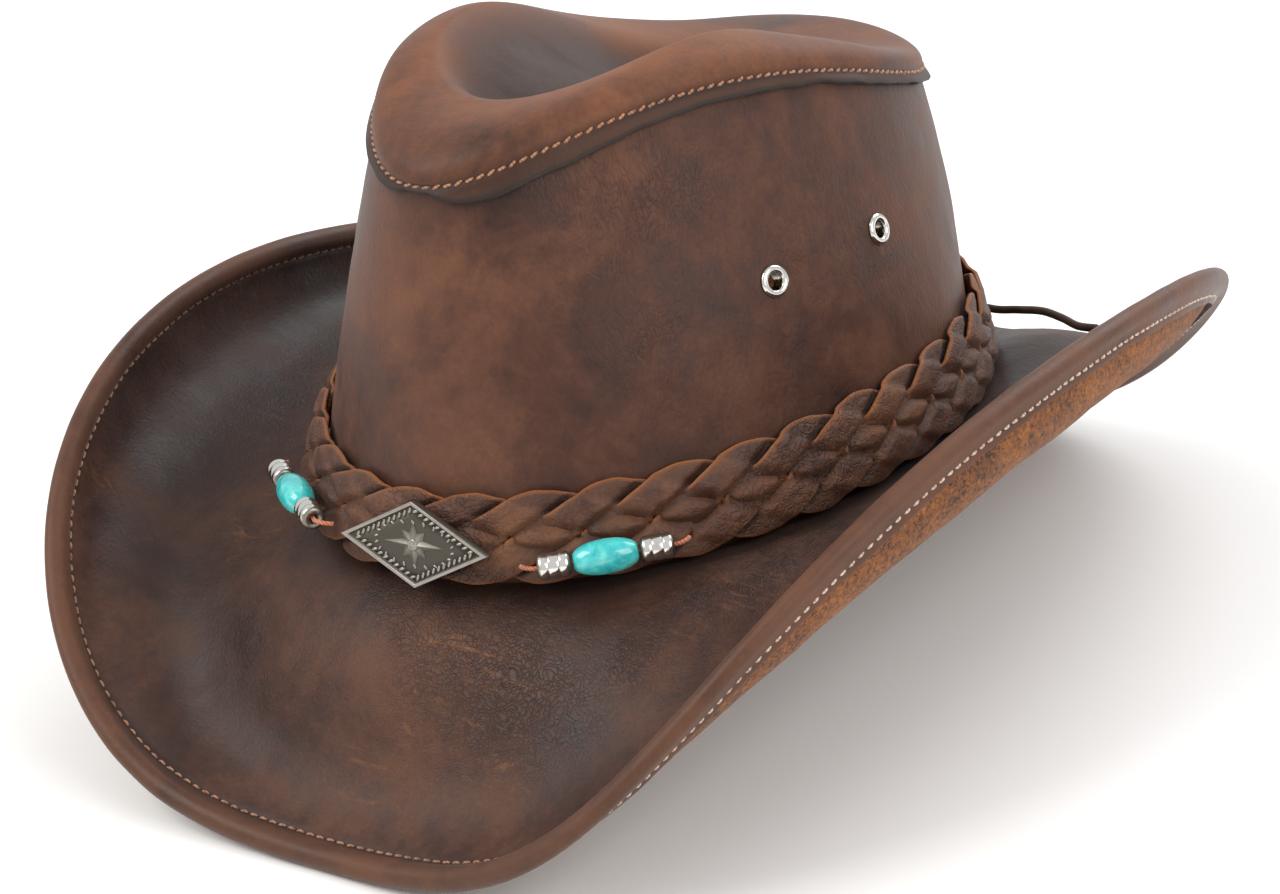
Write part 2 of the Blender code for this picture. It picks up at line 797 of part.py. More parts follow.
def lace():
    """The knot and the end of lace that lies over the back of the brim."""
    angle = math.radians(KNOT_ANGLE)
    normal = band_normal(angle)
    centre = band_centre(angle, 4.0, STACK + GAP + KNOT_RADIUS + 0.4)
    step = math.radians(1.0)
    along = (band_centre(angle + step) - band_centre(angle - step)).normalized()
    profile = [
        (0.0, -KNOT_HALF_LENGTH),
        (KNOT_RADIUS * 0.75, -KNOT_HALF_LENGTH),
        (KNOT_RADIUS, -KNOT_HALF_LENGTH * 0.5),
        (KNOT_RADIUS, KNOT_HALF_LENGTH * 0.5),
        (KNOT_RADIUS * 0.75, KNOT_HALF_LENGTH),
        (0.0, KNOT_HALF_LENGTH),
    ]
    turned("lace_knot", profile, facing(centre, along), LACE_COLOUR)
    tail = [
        centre - along * (KNOT_HALF_LENGTH + 2 * GAP),
        centre - along * (KNOT_HALF_LENGTH + 8.0),
        brim_point(math.radians(166.0), 0.26, 7.5),
        brim_point(math.radians(160.0), 0.29, 6.0),
        brim_point(math.radians(154.5), 0.33, 7.5),
        brim_point(math.radians(149.0), 0.37, 8.0),
        brim_point(math.radians(144.0), 0.42, 6.0),
        brim_point(math.radians(140.0), 0.47, LACE_LIFT + 0.9),
        brim_point(math.radians(136.5), 0.53, LACE_LIFT + 0.4),
    ]
    smooth = catmull(tail, 3)
    tube("tie_lace", smooth, LACE_RADIUS, LACE_COLOUR, False, 2)


def catmull(points, pieces):
    """A smooth curve through points."""
    ends = [points[0] * 2 - points[1], *points, points[-1] * 2 - points[-2]]
    made = []
    for i in range(1, len(ends) - 2):
        a, b, c, d = ends[i - 1 : i + 3]
        for j in range(pieces):
            t = j / pieces
            made.append(
                0.5
                * (
                    2 * b
                    + (c - a) * t
                    + (2 * a - 5 * b + 4 * c - d) * t * t
                    + (3 * b - a - 3 * c + d) * t**3
                )
            )
    made.append(ends[-2])
    return made


lace()


def stand_on_floor():
    """Lifts the whole hat so that its brim rests on the ground plane."""
    bpy.context.view_layer.update()
    graph = bpy.context.evaluated_depsgraph_get()
    mesh = brim.evaluated_get(graph).to_mesh()
    lowest = min((brim.matrix_world @ vert.co).z for vert in mesh.vertices)
    for obj in bpy.data.objects:
        obj.location.z -= lowest


stand_on_floor()
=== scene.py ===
"""A stitched leather cowboy hat with a braided band, beads and a metal plate.

The hat is dressed piece by piece over its fixed frame. Lengths in this file are in
millimetres and angles go round the crown from the front towards the wearer's left,
unless a name says otherwise. Every piece is written in metres at its own place.
"""

import logging
import math
from collections.abc import Callable, Sequence
from dataclasses import dataclass, field
from enum import Enum

import bpy
import numpy as np
from mathutils import Matrix, Vector, noise


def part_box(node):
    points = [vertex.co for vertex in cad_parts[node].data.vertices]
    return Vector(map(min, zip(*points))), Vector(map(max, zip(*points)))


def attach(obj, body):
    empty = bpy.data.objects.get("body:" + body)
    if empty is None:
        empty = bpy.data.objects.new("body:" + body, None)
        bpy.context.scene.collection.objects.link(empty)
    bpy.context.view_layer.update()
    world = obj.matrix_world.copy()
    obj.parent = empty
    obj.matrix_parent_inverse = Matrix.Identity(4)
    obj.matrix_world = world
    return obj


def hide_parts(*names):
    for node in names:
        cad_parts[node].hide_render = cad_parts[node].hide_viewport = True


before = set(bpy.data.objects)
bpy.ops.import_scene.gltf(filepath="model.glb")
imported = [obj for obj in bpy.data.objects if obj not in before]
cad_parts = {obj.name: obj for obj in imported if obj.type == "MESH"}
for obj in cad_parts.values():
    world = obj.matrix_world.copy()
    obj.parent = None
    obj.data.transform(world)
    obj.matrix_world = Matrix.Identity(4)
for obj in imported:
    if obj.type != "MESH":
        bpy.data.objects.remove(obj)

LOG = logging.getLogger("cowboy_hat")
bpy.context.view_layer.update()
MM = 0.001
GAP = 0.3
FOOT = 62.745
UP = Vector((0.0, 0.0, 1.0))
EYELET_AROUND = 83.5
EYELET_HEIGHT = 62.5
EYELET_SPREAD = 12.0
KNOT_AXIS = (-0.996224, 0.086489, -0.007575)


class Side(Enum):
    """The wearer's left or right."""

    LEFT = 1.0
    RIGHT = -1.0


def smooth(value: float, low: float, high: float) -> float:
    """A smooth step from 0 at low to 1 at high."""
    share = min(max((value - low) / (high - low), 0.0), 1.0)
    return share * share * (3.0 - 2.0 * share)


def hump(value: float, centre: float, spread: float) -> float:
    """A smooth rise of one at a centre."""
    return math.exp(-(((value - centre) / spread) ** 2))


def series(values: Sequence[float], angle: float) -> float:
    """The sum of values[k] times the cosine of k times the angle."""
    return sum(value * math.cos(k * angle) for k, value in enumerate(values))


def angle_hump(angle: float, centre: float, spread: float) -> float:
    """A smooth rise of one around an angle, with its centre and spread in degrees."""
    away = (math.degrees(angle) - centre + 180.0) % 360.0 - 180.0
    return math.exp(-((away / spread) ** 2))


def bezier(points: Sequence[Vector], share: float) -> Vector:
    """A point on the curve with these control points."""
    points = list(points)
    while len(points) > 1:
        points = [a.lerp(b, share) for a, b in zip(points, points[1:])]
    return points[0]


def rumple(point: Vector, size: float, seed: float = 0.0) -> float:
    """Smooth seeded unevenness from -1 to 1, with bumps of about this size."""
    return noise.noise(point / size + Vector((seed, seed * 0.7, -seed)))


def in_place(point: Vector) -> Vector:
    """A point of the hat, from millimetres to metres above the floor."""
    return (point + Vector((0.0, 0.0, FOOT))) * MM


def facing(centre: Vector, direction: Vector, up: Vector = UP) -> Matrix:
    """A placement in metres whose Z axis points along a direction.

    Args:
        centre: Its origin, in millimetres.
        direction: Where its Z axis points.
        up: The direction that its Y axis leans towards.

    Returns:
        The placement.
    """
    z = Vector(direction).normalized()
    x = up.cross(z).normalized()
    y = z.cross(x)
    turn = Matrix((x, y, z)).transposed().to_4x4()
    turn.translation = in_place(Vector(centre))
    return turn


@dataclass(frozen=True)
class HatForm:
    """The shape of the hat: its head opening, crown, crease and brim."""

    head_length: float = 105.0
    head_width: float = 85.0
    saddle: float = 2.3
    tilt: float = 0.8
    wall: float = 1.8
    tip: float = 1.6
    brim: float = 1.6
    sweatband: float = 1.0
    side_reach: float = 54.5
    end_reach: float = 59.0
    squareness: float = 22.7
    drop: float = 58.8
    rise: float = 41.3
    lean: float = 3.1
    flatness: float = 5.8
    ripple: float = 1.7
    sweep: tuple[float, float, float] = (18.0, 134.0, 27.0)
    sag: tuple[float, float, float] = (9.7, -108.0, 26.0)
    start_slope: tuple[float, ...] = (-0.176, -0.047, -0.100)
    swells: tuple[tuple[float, ...], ...] = (
        (0.35, 45.0, 20.0),
        (0.45, 95.0, 22.0),
        (0.6, 130.0, 17.0),
    )
    end_slope: tuple[float, ...] = (0.715, 0.309, -1.230)
    fullness: float = 0.47
    allowance: float = 6.0
    seam_dip: float = 1.2
    brim_width: float = 90.0
    hem_width: float = 8.5
    stitch_inset: float = 6.4
    wire: float = 0.85
    wire_slack: float = 0.65
    seam_height: tuple[float, ...] = (102.2, 13.5, -7.6, -4.5, 0.9)
    seam_width: float = 57.8
    seam_pinch: float = 14.4
    seam_length: float = 94.3
    seam_shift: float = 10.3
    bulge: float = 2.6
    ridge_rise: tuple[float, ...] = (7.0, 2.0, 0.0, 1.5, 0.4)
    ridge_width: float = 43.7
    ridge_length: float = 66.5
    ridge_shift: float = 9.5
    crease_depth: float = 24.0
    crease_length: float = 44.0
    crease_shift: float = 12.0

    def head_normal(self, angle: float) -> Vector:
        """The level outward direction of the head opening."""
        across = math.sin(angle) / self.head_width
        along = -math.cos(angle) / self.head_length
        return Vector((across, along, 0.0)).normalized()

    def head_line(self, angle: float, outward: float = 0.0, height: float = 0.0) -> Vector:
        """A point on the line where crown meets brim, moved outward and up."""
        rise = -self.saddle * math.cos(2 * angle) + self.tilt * math.cos(angle)
        across = self.head_width * math.sin(angle)
        along = -self.head_length * math.cos(angle)
        return Vector((across, along, rise + height)) + self.head_normal(angle) * outward

    def seam_line(self, angle: float) -> Vector:
        """A point on the seam between the crown's wall and its tip."""
        across = (self.seam_width - self.seam_pinch * math.cos(angle)) * math.sin(angle)
        along = -self.seam_length * math.cos(angle) + self.seam_shift
        return Vector((across, along, series(self.seam_height, angle)))

    def wall_point(self, angle: float, share: float, outward: float = 0.0) -> Vector:
        """A point on the crown's wall, from its foot at 0 to its tip seam at 1."""
        point = self.head_line(angle).lerp(self.seam_line(angle), share)
        bulge = self.bulge * 4.0 * share * (1.0 - share)
        return point + self.head_normal(angle) * (bulge + outward)

    def wall_share(self, angle: float, height: float) -> float:
        """The share of the way up the wall at which it reaches a height."""
        foot = self.head_line(angle).z
        return (height - foot) / (self.seam_line(angle).z - foot)

    def wall_normal(self, angle: float, share: float) -> Vector:
        """The outward direction square to the crown's wall."""
        step = 0.01
        around = self.wall_point(angle + step, share) - self.wall_point(angle - step, share)
        up = self.wall_point(angle, share + step) - self.wall_point(angle, share - step)
        return around.cross(up).normalized()

    def rim_line(self, angle: float) -> Vector:
        """A point on the outer edge of the brim."""
        width = self.head_width + self.side_reach
        length = self.head_length + self.end_reach
        along = (
            length + self.squareness
        ) * math.cos(angle) - self.squareness * math.cos(3 * angle)
        rise = (self.rise - self.drop) / 2.0 - self.flatness
        rise -= ((self.rise + self.drop) / 2.0 + self.ripple) * math.cos(2 * angle)
        rise += self.lean * (math.cos(angle) - math.cos(3 * angle))
        rise += self.flatness * math.cos(4 * angle) + self.ripple * math.cos(6 * angle)
        rise += self.sweep[0] * angle_hump(angle, *self.sweep[1:])
        rise -= self.sag[0] * angle_hump(angle, *self.sag[1:])
        return Vector((width * math.sin(angle), -along, rise))

    def brim_section(self, angle: float) -> tuple[Vector, ...]:
        """The four control points of the brim's curve in one upright plane."""
        start = self.head_line(angle, 0.0, -self.wall / 2 - GAP - self.brim / 2)
        end = self.rim_line(angle)
        level = Vector((end.x - start.x, end.y - start.y, 0.0)).normalized()
        reach = (end - start).length * self.fullness
        first = series(self.start_slope, angle)
        first += sum(swell[0] * angle_hump(angle, *swell[1:]) for swell in self.swells)
        last = series(self.end_slope, angle)
        leave = level * math.cos(first) + UP * math.sin(first)
        arrive = level * math.cos(last) + UP * math.sin(last)
        return start, start + leave * reach, end - arrive * reach, end

    def brim_frame(self, angle: float, share: float) -> tuple[Vector, Vector, Vector]:
        """A point on the brim with its outward and upward directions."""
        section = self.brim_section(angle)
        here = bezier(section, share)
        ahead = bezier(section, min(share + 0.01, 1.0))
        behind = bezier(section, max(share - 0.01, 0.0))
        outward = (ahead - behind).normalized()
        level = Vector((section[3].x - section[0].x, section[3].y - section[0].y, 0.0))
        return here, outward, level.cross(UP).cross(outward).normalized()

    def brim_point(self, angle: float, share: float, above: float = 0.0) -> Vector:
        """A point on the brim, moved along its upward direction."""
        here, _, upward = self.brim_frame(angle, share)
        return here + upward * above

    def ridge_line(self, angle: float) -> Vector:
        """A point on the ridge round the top of the crown."""
        across = self.ridge_width * math.sin(angle)
        along = -self.ridge_length * math.cos(angle) + self.ridge_shift
        height = self.seam_line(angle).z + series(self.ridge_rise, angle)
        return Vector((across, along, height))

    def crease_line(self, angle: float) -> Vector:
        """A point on the floor of the crease, the same for both sides."""
        along = -self.crease_length * math.cos(angle) + self.crease_shift
        height = (self.ridge_line(angle).z + self.ridge_line(-angle).z) / 2 - self.crease_depth
        return Vector((0.0, along, height))

    @property
    def tip_out(self) -> float:
        """How far the middle of the tip's leather stands outside the wall's."""
        return self.wall / 2 + GAP + self.tip / 2

    @property
    def stitch_share(self) -> float:
        """The share of the brim at its line of stitches."""
        return 1.0 - self.stitch_inset / self.brim_width

    @property
    def fold_bend(self) -> float:
        """The radius of the brim's folded edge."""
        return self.wire + GAP + self.brim / 2 + self.wire_slack


FORM = HatForm()


def new_piece(name: str) -> bpy.types.Object:
    """Names the object that an operator has just added."""
    piece = bpy.context.object
    piece.name = piece.data.name = name
    return piece


def edit(piece: bpy.types.Object, *steps: Callable[[], object]) -> None:
    """Runs operators on all of a piece in edit mode.

    Args:
        piece: The piece.
        steps: The operators, in order.
    """
    bpy.ops.object.select_all(action="DESELECT")
    piece.select_set(True)
    bpy.context.view_layer.objects.active = piece
    bpy.ops.object.mode_set(mode="EDIT")
    bpy.ops.mesh.select_all(action="SELECT")
    for step in steps:
        step()
    bpy.ops.object.mode_set(mode="OBJECT")


def weld(distance: float = 0.01) -> None:
    """Merges the selected points that lie together, with the distance in millimetres."""
    bpy.ops.mesh.remove_doubles(threshold=distance * MM)


def face_out() -> None:
    """Turns every selected face outwards."""
    bpy.ops.mesh.normals_make_consistent(inside=False)


def apply_all(piece: bpy.types.Object) -> None:
    """Applies every modifier of a piece."""
    bpy.ops.object.select_all(action="DESELECT")
    piece.select_set(True)
    bpy.context.view_layer.objects.active = piece
    for modifier in list(piece.modifiers):
        bpy.ops.object.modifier_apply(modifier=modifier.name)


def thicken(piece: bpy.types.Object, thickness: float, under: int = 0, rim: int = 0) -> None:
    """Gives a sheet of leather its thickness, half to each side.

    Args:
        piece: The sheet.
        thickness: In millimetres.
        under: How many material slots further on the flesh side's material is.
        rim: How many slots further on the cut edge's material is.
    """
    skin = piece.modifiers.new("leather_thickness", "SOLIDIFY")
    skin.thickness = thickness * MM
    skin.offset = 0.0
    skin.use_quality_normals = True
    skin.material_offset = under
    skin.material_offset_rim = rim
    apply_all(piece)


Marks = dict[str, Callable[[float, float, Vector], float]]


def laid_sheet(
    name: str,
    turns: Sequence[float],
    rows: Sequence[float],
    place: Callable[[float, float], Vector],
    marks: Marks | None = None,
    flip: bool = False,
) -> bpy.types.Object:
    """Lays a grid on a surface, with its ends welded where they meet.

    Args:
        name: The piece's name.
        turns: Its stations one way.
        rows: Its stations the other way.
        place: Gives the point in millimetres at a turn and a row.
        marks: Attributes, each from the turn, the row and the point.
        flip: Whether to turn its faces over.

    Returns:
        The piece.
    """
    across, along = len(turns) - 1, len(rows) - 1
    bpy.ops.mesh.primitive_grid_add(x_subdivisions=across, y_subdivisions=along, size=1.0)
    piece = new_piece(name)
    mesh = piece.data
    flat = np.empty(len(mesh.vertices) * 3)
    mesh.vertices.foreach_get("co", flat)
    columns = np.rint((flat[0::3] + 0.5) * across).astype(int)
    lines = np.rint((flat[1::3] + 0.5) * along).astype(int)
    points = [place(turns[i], rows[j]) for i, j in zip(columns, lines)]
    for mark, give in (marks or {}).items():
        values = [give(turns[i], rows[j], p) for i, j, p in zip(columns, lines, points)]
        layer = mesh.attributes.new(mark, "FLOAT", "POINT")
        layer.data.foreach_set("value", np.array(values, np.float32))
    mesh.vertices.foreach_set("co", np.array([in_place(p) for p in points]).ravel())
    edit(piece, weld, *([bpy.ops.mesh.flip_normals] if flip else []))
    mesh.shade_smooth()
    return piece


def spun(
    name: str, profile: Sequence[tuple[float, float]], placement: Matrix, steps: int = 40
) -> bpy.types.Object:
    """Spins a closed profile about the placement's Z axis.

    Args:
        name: The piece's name.
        profile: Radius and height of each corner, in millimetres.
        placement: Where the turned solid stands.
        steps: How many faces it has round it.

    Returns:
        The piece.
    """
    bpy.ops.mesh.primitive_circle_add(vertices=len(profile), radius=MM, fill_type="NOTHING")
    piece = new_piece(name)
    for vert, (radius, height) in zip(piece.data.vertices, profile):
        vert.co = placement @ Vector((radius * MM, 0.0, height * MM))
    centre = placement.translation
    axis = placement.to_3x3().col[2]
    edit(
        piece,
        lambda: bpy.ops.mesh.spin(steps=steps, angle=2 * math.pi, center=centre, axis=axis),
        lambda: bpy.ops.mesh.select_all(action="SELECT"),
        lambda: weld(0.002),
        face_out,
    )
    piece.data.shade_smooth()
    return piece


def run_along(
    name: str, template: bpy.types.Object, places: Sequence[Matrix], keep: bool = False
) -> bpy.types.Object:
    """Copies a small shape to many places and makes one piece of the copies.

    Args:
        name: The piece's name.
        template: The shape, modelled at the origin in metres.
        places: The placement of each copy.
        keep: Whether the template stays.

    Returns:
        The piece.
    """
    mesh = template.data
    points = np.empty(len(mesh.vertices) * 3)
    mesh.vertices.foreach_get("co", points)
    points = np.column_stack([points.reshape(-1, 3), np.ones(len(mesh.vertices))])
    faces = [tuple(face.vertices) for face in mesh.polygons]
    size = len(mesh.vertices)
    spots = np.concatenate([points @ np.array(m).T[:, :3] for m in places])
    made = bpy.data.meshes.new(name)
    turned = [tuple(v + i * size for v in face) for i in range(len(places)) for face in faces]
    made.from_pydata(spots.tolist(), [], turned)
    made.shade_smooth()
    piece = bpy.data.objects.new(name, made)
    bpy.context.scene.collection.objects.link(piece)
    if not keep:
        bpy.data.objects.remove(template, do_unlink=True)
    return piece


def round_cord(
    name: str,
    points: Sequence[Vector],
    radius: float,
    sides: int = 12,
    taper: Callable[[float], float] | None = None,
) -> bpy.types.Object:
    """A round cord along points, with its length and girth in its UV map.

    Args:
        name: The piece's name.
        points: Its route, in millimetres.
        radius: Its radius, in millimetres.
        sides: How many faces it has round it.
        taper: How much of the radius it has at each share of its length.

    Returns:
        The piece, closed at both ends.
    """
    frames = []
    normal = UP
    for i, point in enumerate(points):
        ahead = points[min(i + 1, len(points) - 1)] - points[max(i - 1, 0)]
        along = ahead.normalized()
        normal = (normal - along * normal.dot(along)).normalized()
        frames.append((point, normal, along.cross(normal)))
    last = len(points) - 1

    def place(turn: float, row: float) -> Vector:
        """A point of the cord's skin."""
        index = min(max(round(row) - 1, 0), last)
        point, one, two = frames[index]
        size = radius * (taper(index / last) if taper else 1.0)
        if row < 0.5 or row > last + 1.5:
            size = 0.0
        angle = 2 * math.pi * turn
        return point + (one * math.cos(angle) + two * math.sin(angle)) * size

    turns = [i / sides for i in range(sides + 1)]
    piece = laid_sheet(name, turns, list(range(last + 3)), place)
    edit(piece, lambda: weld(0.004), face_out)
    return piece


def flowing(points: Sequence[Vector], pieces: int) -> list[Vector]:
    """A smooth route through points, with this many steps between each two."""
    ends = [points[0] * 2 - points[1], *points, points[-1] * 2 - points[-2]]
    made = []
    for a, b, c, d in zip(ends, ends[1:], ends[2:], ends[3:]):
        for j in range(pieces):
            t = j / pieces
            bend = (2 * a - 5 * b + 4 * c - d) * t * t + (3 * b - a - 3 * c + d) * t**3
            made.append(0.5 * (2 * b + (c - a) * t + bend))
    return [*made, ends[-2]]


# ---- finishes ----


def colour(code: str) -> tuple[float, float, float, float]:
    """Turns an sRGB hex colour into linear light."""
    parts = [int(code.lstrip("#")[i : i + 2], 16) / 255 for i in (0, 2, 4)]
    linear = [p / 12.92 if p <= 0.04045 else ((p + 0.055) / 1.055) ** 2.4 for p in parts]
    return (*linear, 1.0)


def node(
    tree: bpy.types.NodeTree, kind: str, settings: dict | None = None, links: dict | None = None
) -> bpy.types.Node:
    """Adds a node to a material.

    Args:
        tree: The material's node tree.
        kind: The node's type name, without its ShaderNode start.
        settings: Its properties and socket values, by name or socket number.
        links: The output that each of its inputs takes, by name or socket number.

    Returns:
        The node.
    """
    made = tree.nodes.new("ShaderNode" + kind)
    for key, value in (settings or {}).items():
        if isinstance(key, str) and hasattr(made, key):
            setattr(made, key, value)
        else:
            made.inputs[key].default_value = value
    for key, output in (links or {}).items():
        tree.links.new(output, made.inputs[key])
    return made


def ramp(
    tree: bpy.types.NodeTree, source: bpy.types.NodeSocket, stops: Sequence[tuple[float, str]]
) -> bpy.types.NodeSocket:
    """Colours a value by stops of place and hex colour."""
    made = node(tree, "ValToRGB", links={0: source})
    band = made.color_ramp
    while len(band.elements) < len(stops):
        band.elements.new(0.5)
    for element, (place, code) in zip(band.elements, stops):
        element.position = place
        element.color = colour(code)
    return made.outputs[0]


def start_material(name: str) -> tuple[bpy.types.Material, bpy.types.NodeTree, bpy.types.Node]:
    """A new material with its tree and shader."""
    made = bpy.data.materials.new(name)
    made.use_nodes = True
    return made, made.node_tree, made.node_tree.nodes["Principled BSDF"]


def share_of(
    tree: bpy.types.NodeTree, source: bpy.types.NodeSocket, low: float, high: float,
    start: float = 0.0, end: float = 1.0,
) -> bpy.types.NodeSocket:
    """Spreads a value's range from low to high over start to end, and holds it there."""
    settings = {1: low, 2: high, 3: start, 4: end, "clamp": True}
    return node(tree, "MapRange", settings, {0: source}).outputs[0]


def noise_of(
    tree: bpy.types.NodeTree, spot: bpy.types.NodeSocket, size: float, detail: float = 2.0,
    roughness: float = 0.5, distortion: float = 0.0, output: int = 0,
) -> bpy.types.NodeSocket:
    """Cloudy noise with patches of about this size in millimetres.

    Args:
        tree: The material's tree.
        spot: The coordinates that it follows.
        size: The size of a patch.
        detail: How many finer layers it has.
        roughness: How strong they are.
        distortion: How far it is stirred.
        output: 0 for its value, 1 for its colour.

    Returns:
        The output.
    """
    settings = {
        "Scale": 1000 / size, "Detail": detail, "Roughness": roughness, "Distortion": distortion,
    }
    return node(tree, "TexNoise", settings, {"Vector": spot}).outputs[output]


def mark_of(tree: bpy.types.NodeTree, name: str) -> bpy.types.NodeSocket:
    """The value that a piece was marked with under a name."""
    return node(tree, "Attribute", {"attribute_name": name}).outputs["Fac"]


def tinted(
    tree: bpy.types.NodeTree, base: bpy.types.NodeSocket, share: bpy.types.NodeSocket,
    tint: tuple[float, ...],
) -> bpy.types.NodeSocket:
    """A colour moved by a share towards a fixed tint."""
    return node(tree, "Mix", {"data_type": "RGBA", 7: tint}, {0: share, 6: base}).outputs[2]


def product(
    tree: bpy.types.NodeTree, one: bpy.types.NodeSocket, other: bpy.types.NodeSocket
) -> bpy.types.NodeSocket:
    """Two values multiplied."""
    return node(tree, "Math", {"operation": "MULTIPLY"}, {0: one, 1: other}).outputs[0]


@dataclass(frozen=True)
class Leather:
    """Oiled pull-up leather: waxed full-grain hide that lightens where it is rubbed or bent.

    The eye gets a soft broken sheen, cloudy colour, pale scuffs and a fine pebbled grain.
    """

    name: str
    dark: str
    body: str
    light: str
    scuff: str = "#9A6B42"
    edge: str = "#8A5430"
    cloud: float = 34.0
    grain: float = 1.1
    grain_depth: float = 0.10
    crackle: float = 3.2
    crackle_depth: float = 0.0
    stretch: tuple[float, float, float] = (1.0, 1.0, 1.0)
    scuffing: float = 0.5
    rough: tuple[float, float] = (0.44, 0.64)
    sheen: float = 0.06
    on_uv: bool = False

    def build(self) -> bpy.types.Material:
        """Builds the material."""
        made, tree, shader = start_material(self.name)
        spot = node(tree, "TexCoord").outputs["UV" if self.on_uv else "Object"]
        cloud = noise_of(tree, spot, self.cloud, 5.0, roughness=0.62, distortion=0.5)
        fleck = noise_of(tree, spot, 5.5, 6.0, roughness=0.7)
        fine = noise_of(tree, spot, 1.3, 4.0, roughness=0.6)
        tone = node(
            tree,
            "Math",
            {"operation": "MULTIPLY_ADD", 1: 0.34},
            {0: fleck, 2: cloud},
        ).outputs[0]
        base = ramp(
            tree,
            share_of(tree, tone, 0.40, 0.94),
            ((0.0, self.dark), (0.45, self.body), (1.0, self.light)),
        )
        speck = share_of(tree, fine, 0.30, 0.62, 0.86, 1.06)
        base = node(
            tree,
            "Mix",
            {"data_type": "RGBA", "blend_type": "MULTIPLY", 0: 1.0},
            {6: base, 7: speck},
        ).outputs[2]
        slant = node(
            tree,
            "Mapping",
            {"Rotation": (0.5, 0.3, 0.9), "Scale": (1.0, 5.0, 1.0)},
            {"Vector": spot},
        ).outputs[0]
        rub = noise_of(tree, slant, 22.0, 9.0, roughness=0.74, distortion=1.2)
        patch = noise_of(tree, spot, 48.0, 2.0)
        where = share_of(tree, patch, 0.50, 0.68)
        rubbed = product(tree, share_of(tree, rub, 0.56, 0.72), where)
        rubbed = node(
            tree,
            "Math",
            {"operation": "MULTIPLY", 1: self.scuffing},
            {0: rubbed},
        ).outputs[0]
        base = tinted(tree, base, rubbed, colour(self.scuff))
        # This mark lightens the leather towards its light colour: real wear on rubbed and bent
        # edges, plus painted highlights on the front of the brim and on the crown's wall.
        wear_and_highlight = mark_of(tree, "wear_and_highlight")
        lightened = product(tree, wear_and_highlight, share_of(tree, tone, 0.45, 0.78, 0.35, 1.0))
        base = tinted(tree, base, lightened, colour(self.light))
        shade = mark_of(tree, "shade")
        base = tinted(tree, base, shade, colour(self.dark))
        cut = mark_of(tree, "edge")
        base = tinted(tree, base, cut, colour(self.edge))
        tree.links.new(base, shader.inputs["Base Color"])
        tree.links.new(share_of(tree, tone, 0.46, 0.86, *self.rough), shader.inputs["Roughness"])
        shader.inputs["Sheen Weight"].default_value = self.sheen
        shader.inputs["Sheen Roughness"].default_value = 0.45
        shader.inputs["IOR"].default_value = 1.45
        shader.inputs["Specular IOR Level"].default_value = 0.34
        self.relief(tree, shader, spot, fine, patch)
        return made

    def relief(
        self, tree: bpy.types.NodeTree, shader: bpy.types.Node, spot: bpy.types.NodeSocket,
        fine: bpy.types.NodeSocket, patch: bpy.types.NodeSocket,
    ) -> None:
        """Gives the leather its grain, its creases and its crackle.

        Args:
            tree: The material's tree.
            shader: Its shader.
            spot: The coordinates that the pattern follows.
            fine: The fine noise.
            patch: The large noise that says where the crackle is.
        """
        warp = node(tree, "Mapping", {"Scale": self.stretch}, {"Vector": spot}).outputs[0]
        cells = node(
            tree,
            "TexVoronoi",
            {"Scale": 1000 / self.grain, "Randomness": 1.0},
            {"Vector": warp},
        ).outputs[0]
        grain = node(
            tree,
            "Math",
            {"operation": "MULTIPLY_ADD", 1: 0.8},
            {0: cells, 2: fine},
        ).outputs[0]
        bump = node(
            tree,
            "Bump",
            {"Strength": 0.55, "Distance": self.grain_depth * MM},
            {"Height": grain},
        )
        swirl = noise_of(tree, warp, 7.0, 3.0, output=1)
        bent = node(
            tree,
            "Mix",
            {"data_type": "RGBA", "blend_type": "LINEAR_LIGHT", 0: 0.006},
            {6: warp, 7: swirl},
        ).outputs[2]
        crack = node(
            tree,
            "TexVoronoi",
            {"Scale": 1000 / self.crackle, "feature": "DISTANCE_TO_EDGE"},
            {"Vector": bent},
        ).outputs[0]
        crack = share_of(tree, crack, 0.0, 0.16)
        mark = mark_of(tree, "crackle")
        deep = product(tree, share_of(tree, patch, 0.40, 0.62, 0.25, 1.0), mark)
        creased = node(
            tree,
            "Bump",
            {"Distance": self.crackle_depth * MM},
            {"Height": crack, "Strength": deep, "Normal": bump.outputs[0]},
        )
        broad = noise_of(tree, spot, 9.0, 3.0)
        wavy = node(
            tree,
            "Bump",
            {"Strength": 0.35, "Distance": 0.7 * MM},
            {"Height": broad, "Normal": creased.outputs[0]},
        )
        tree.links.new(wavy.outputs[0], shader.inputs["Normal"])


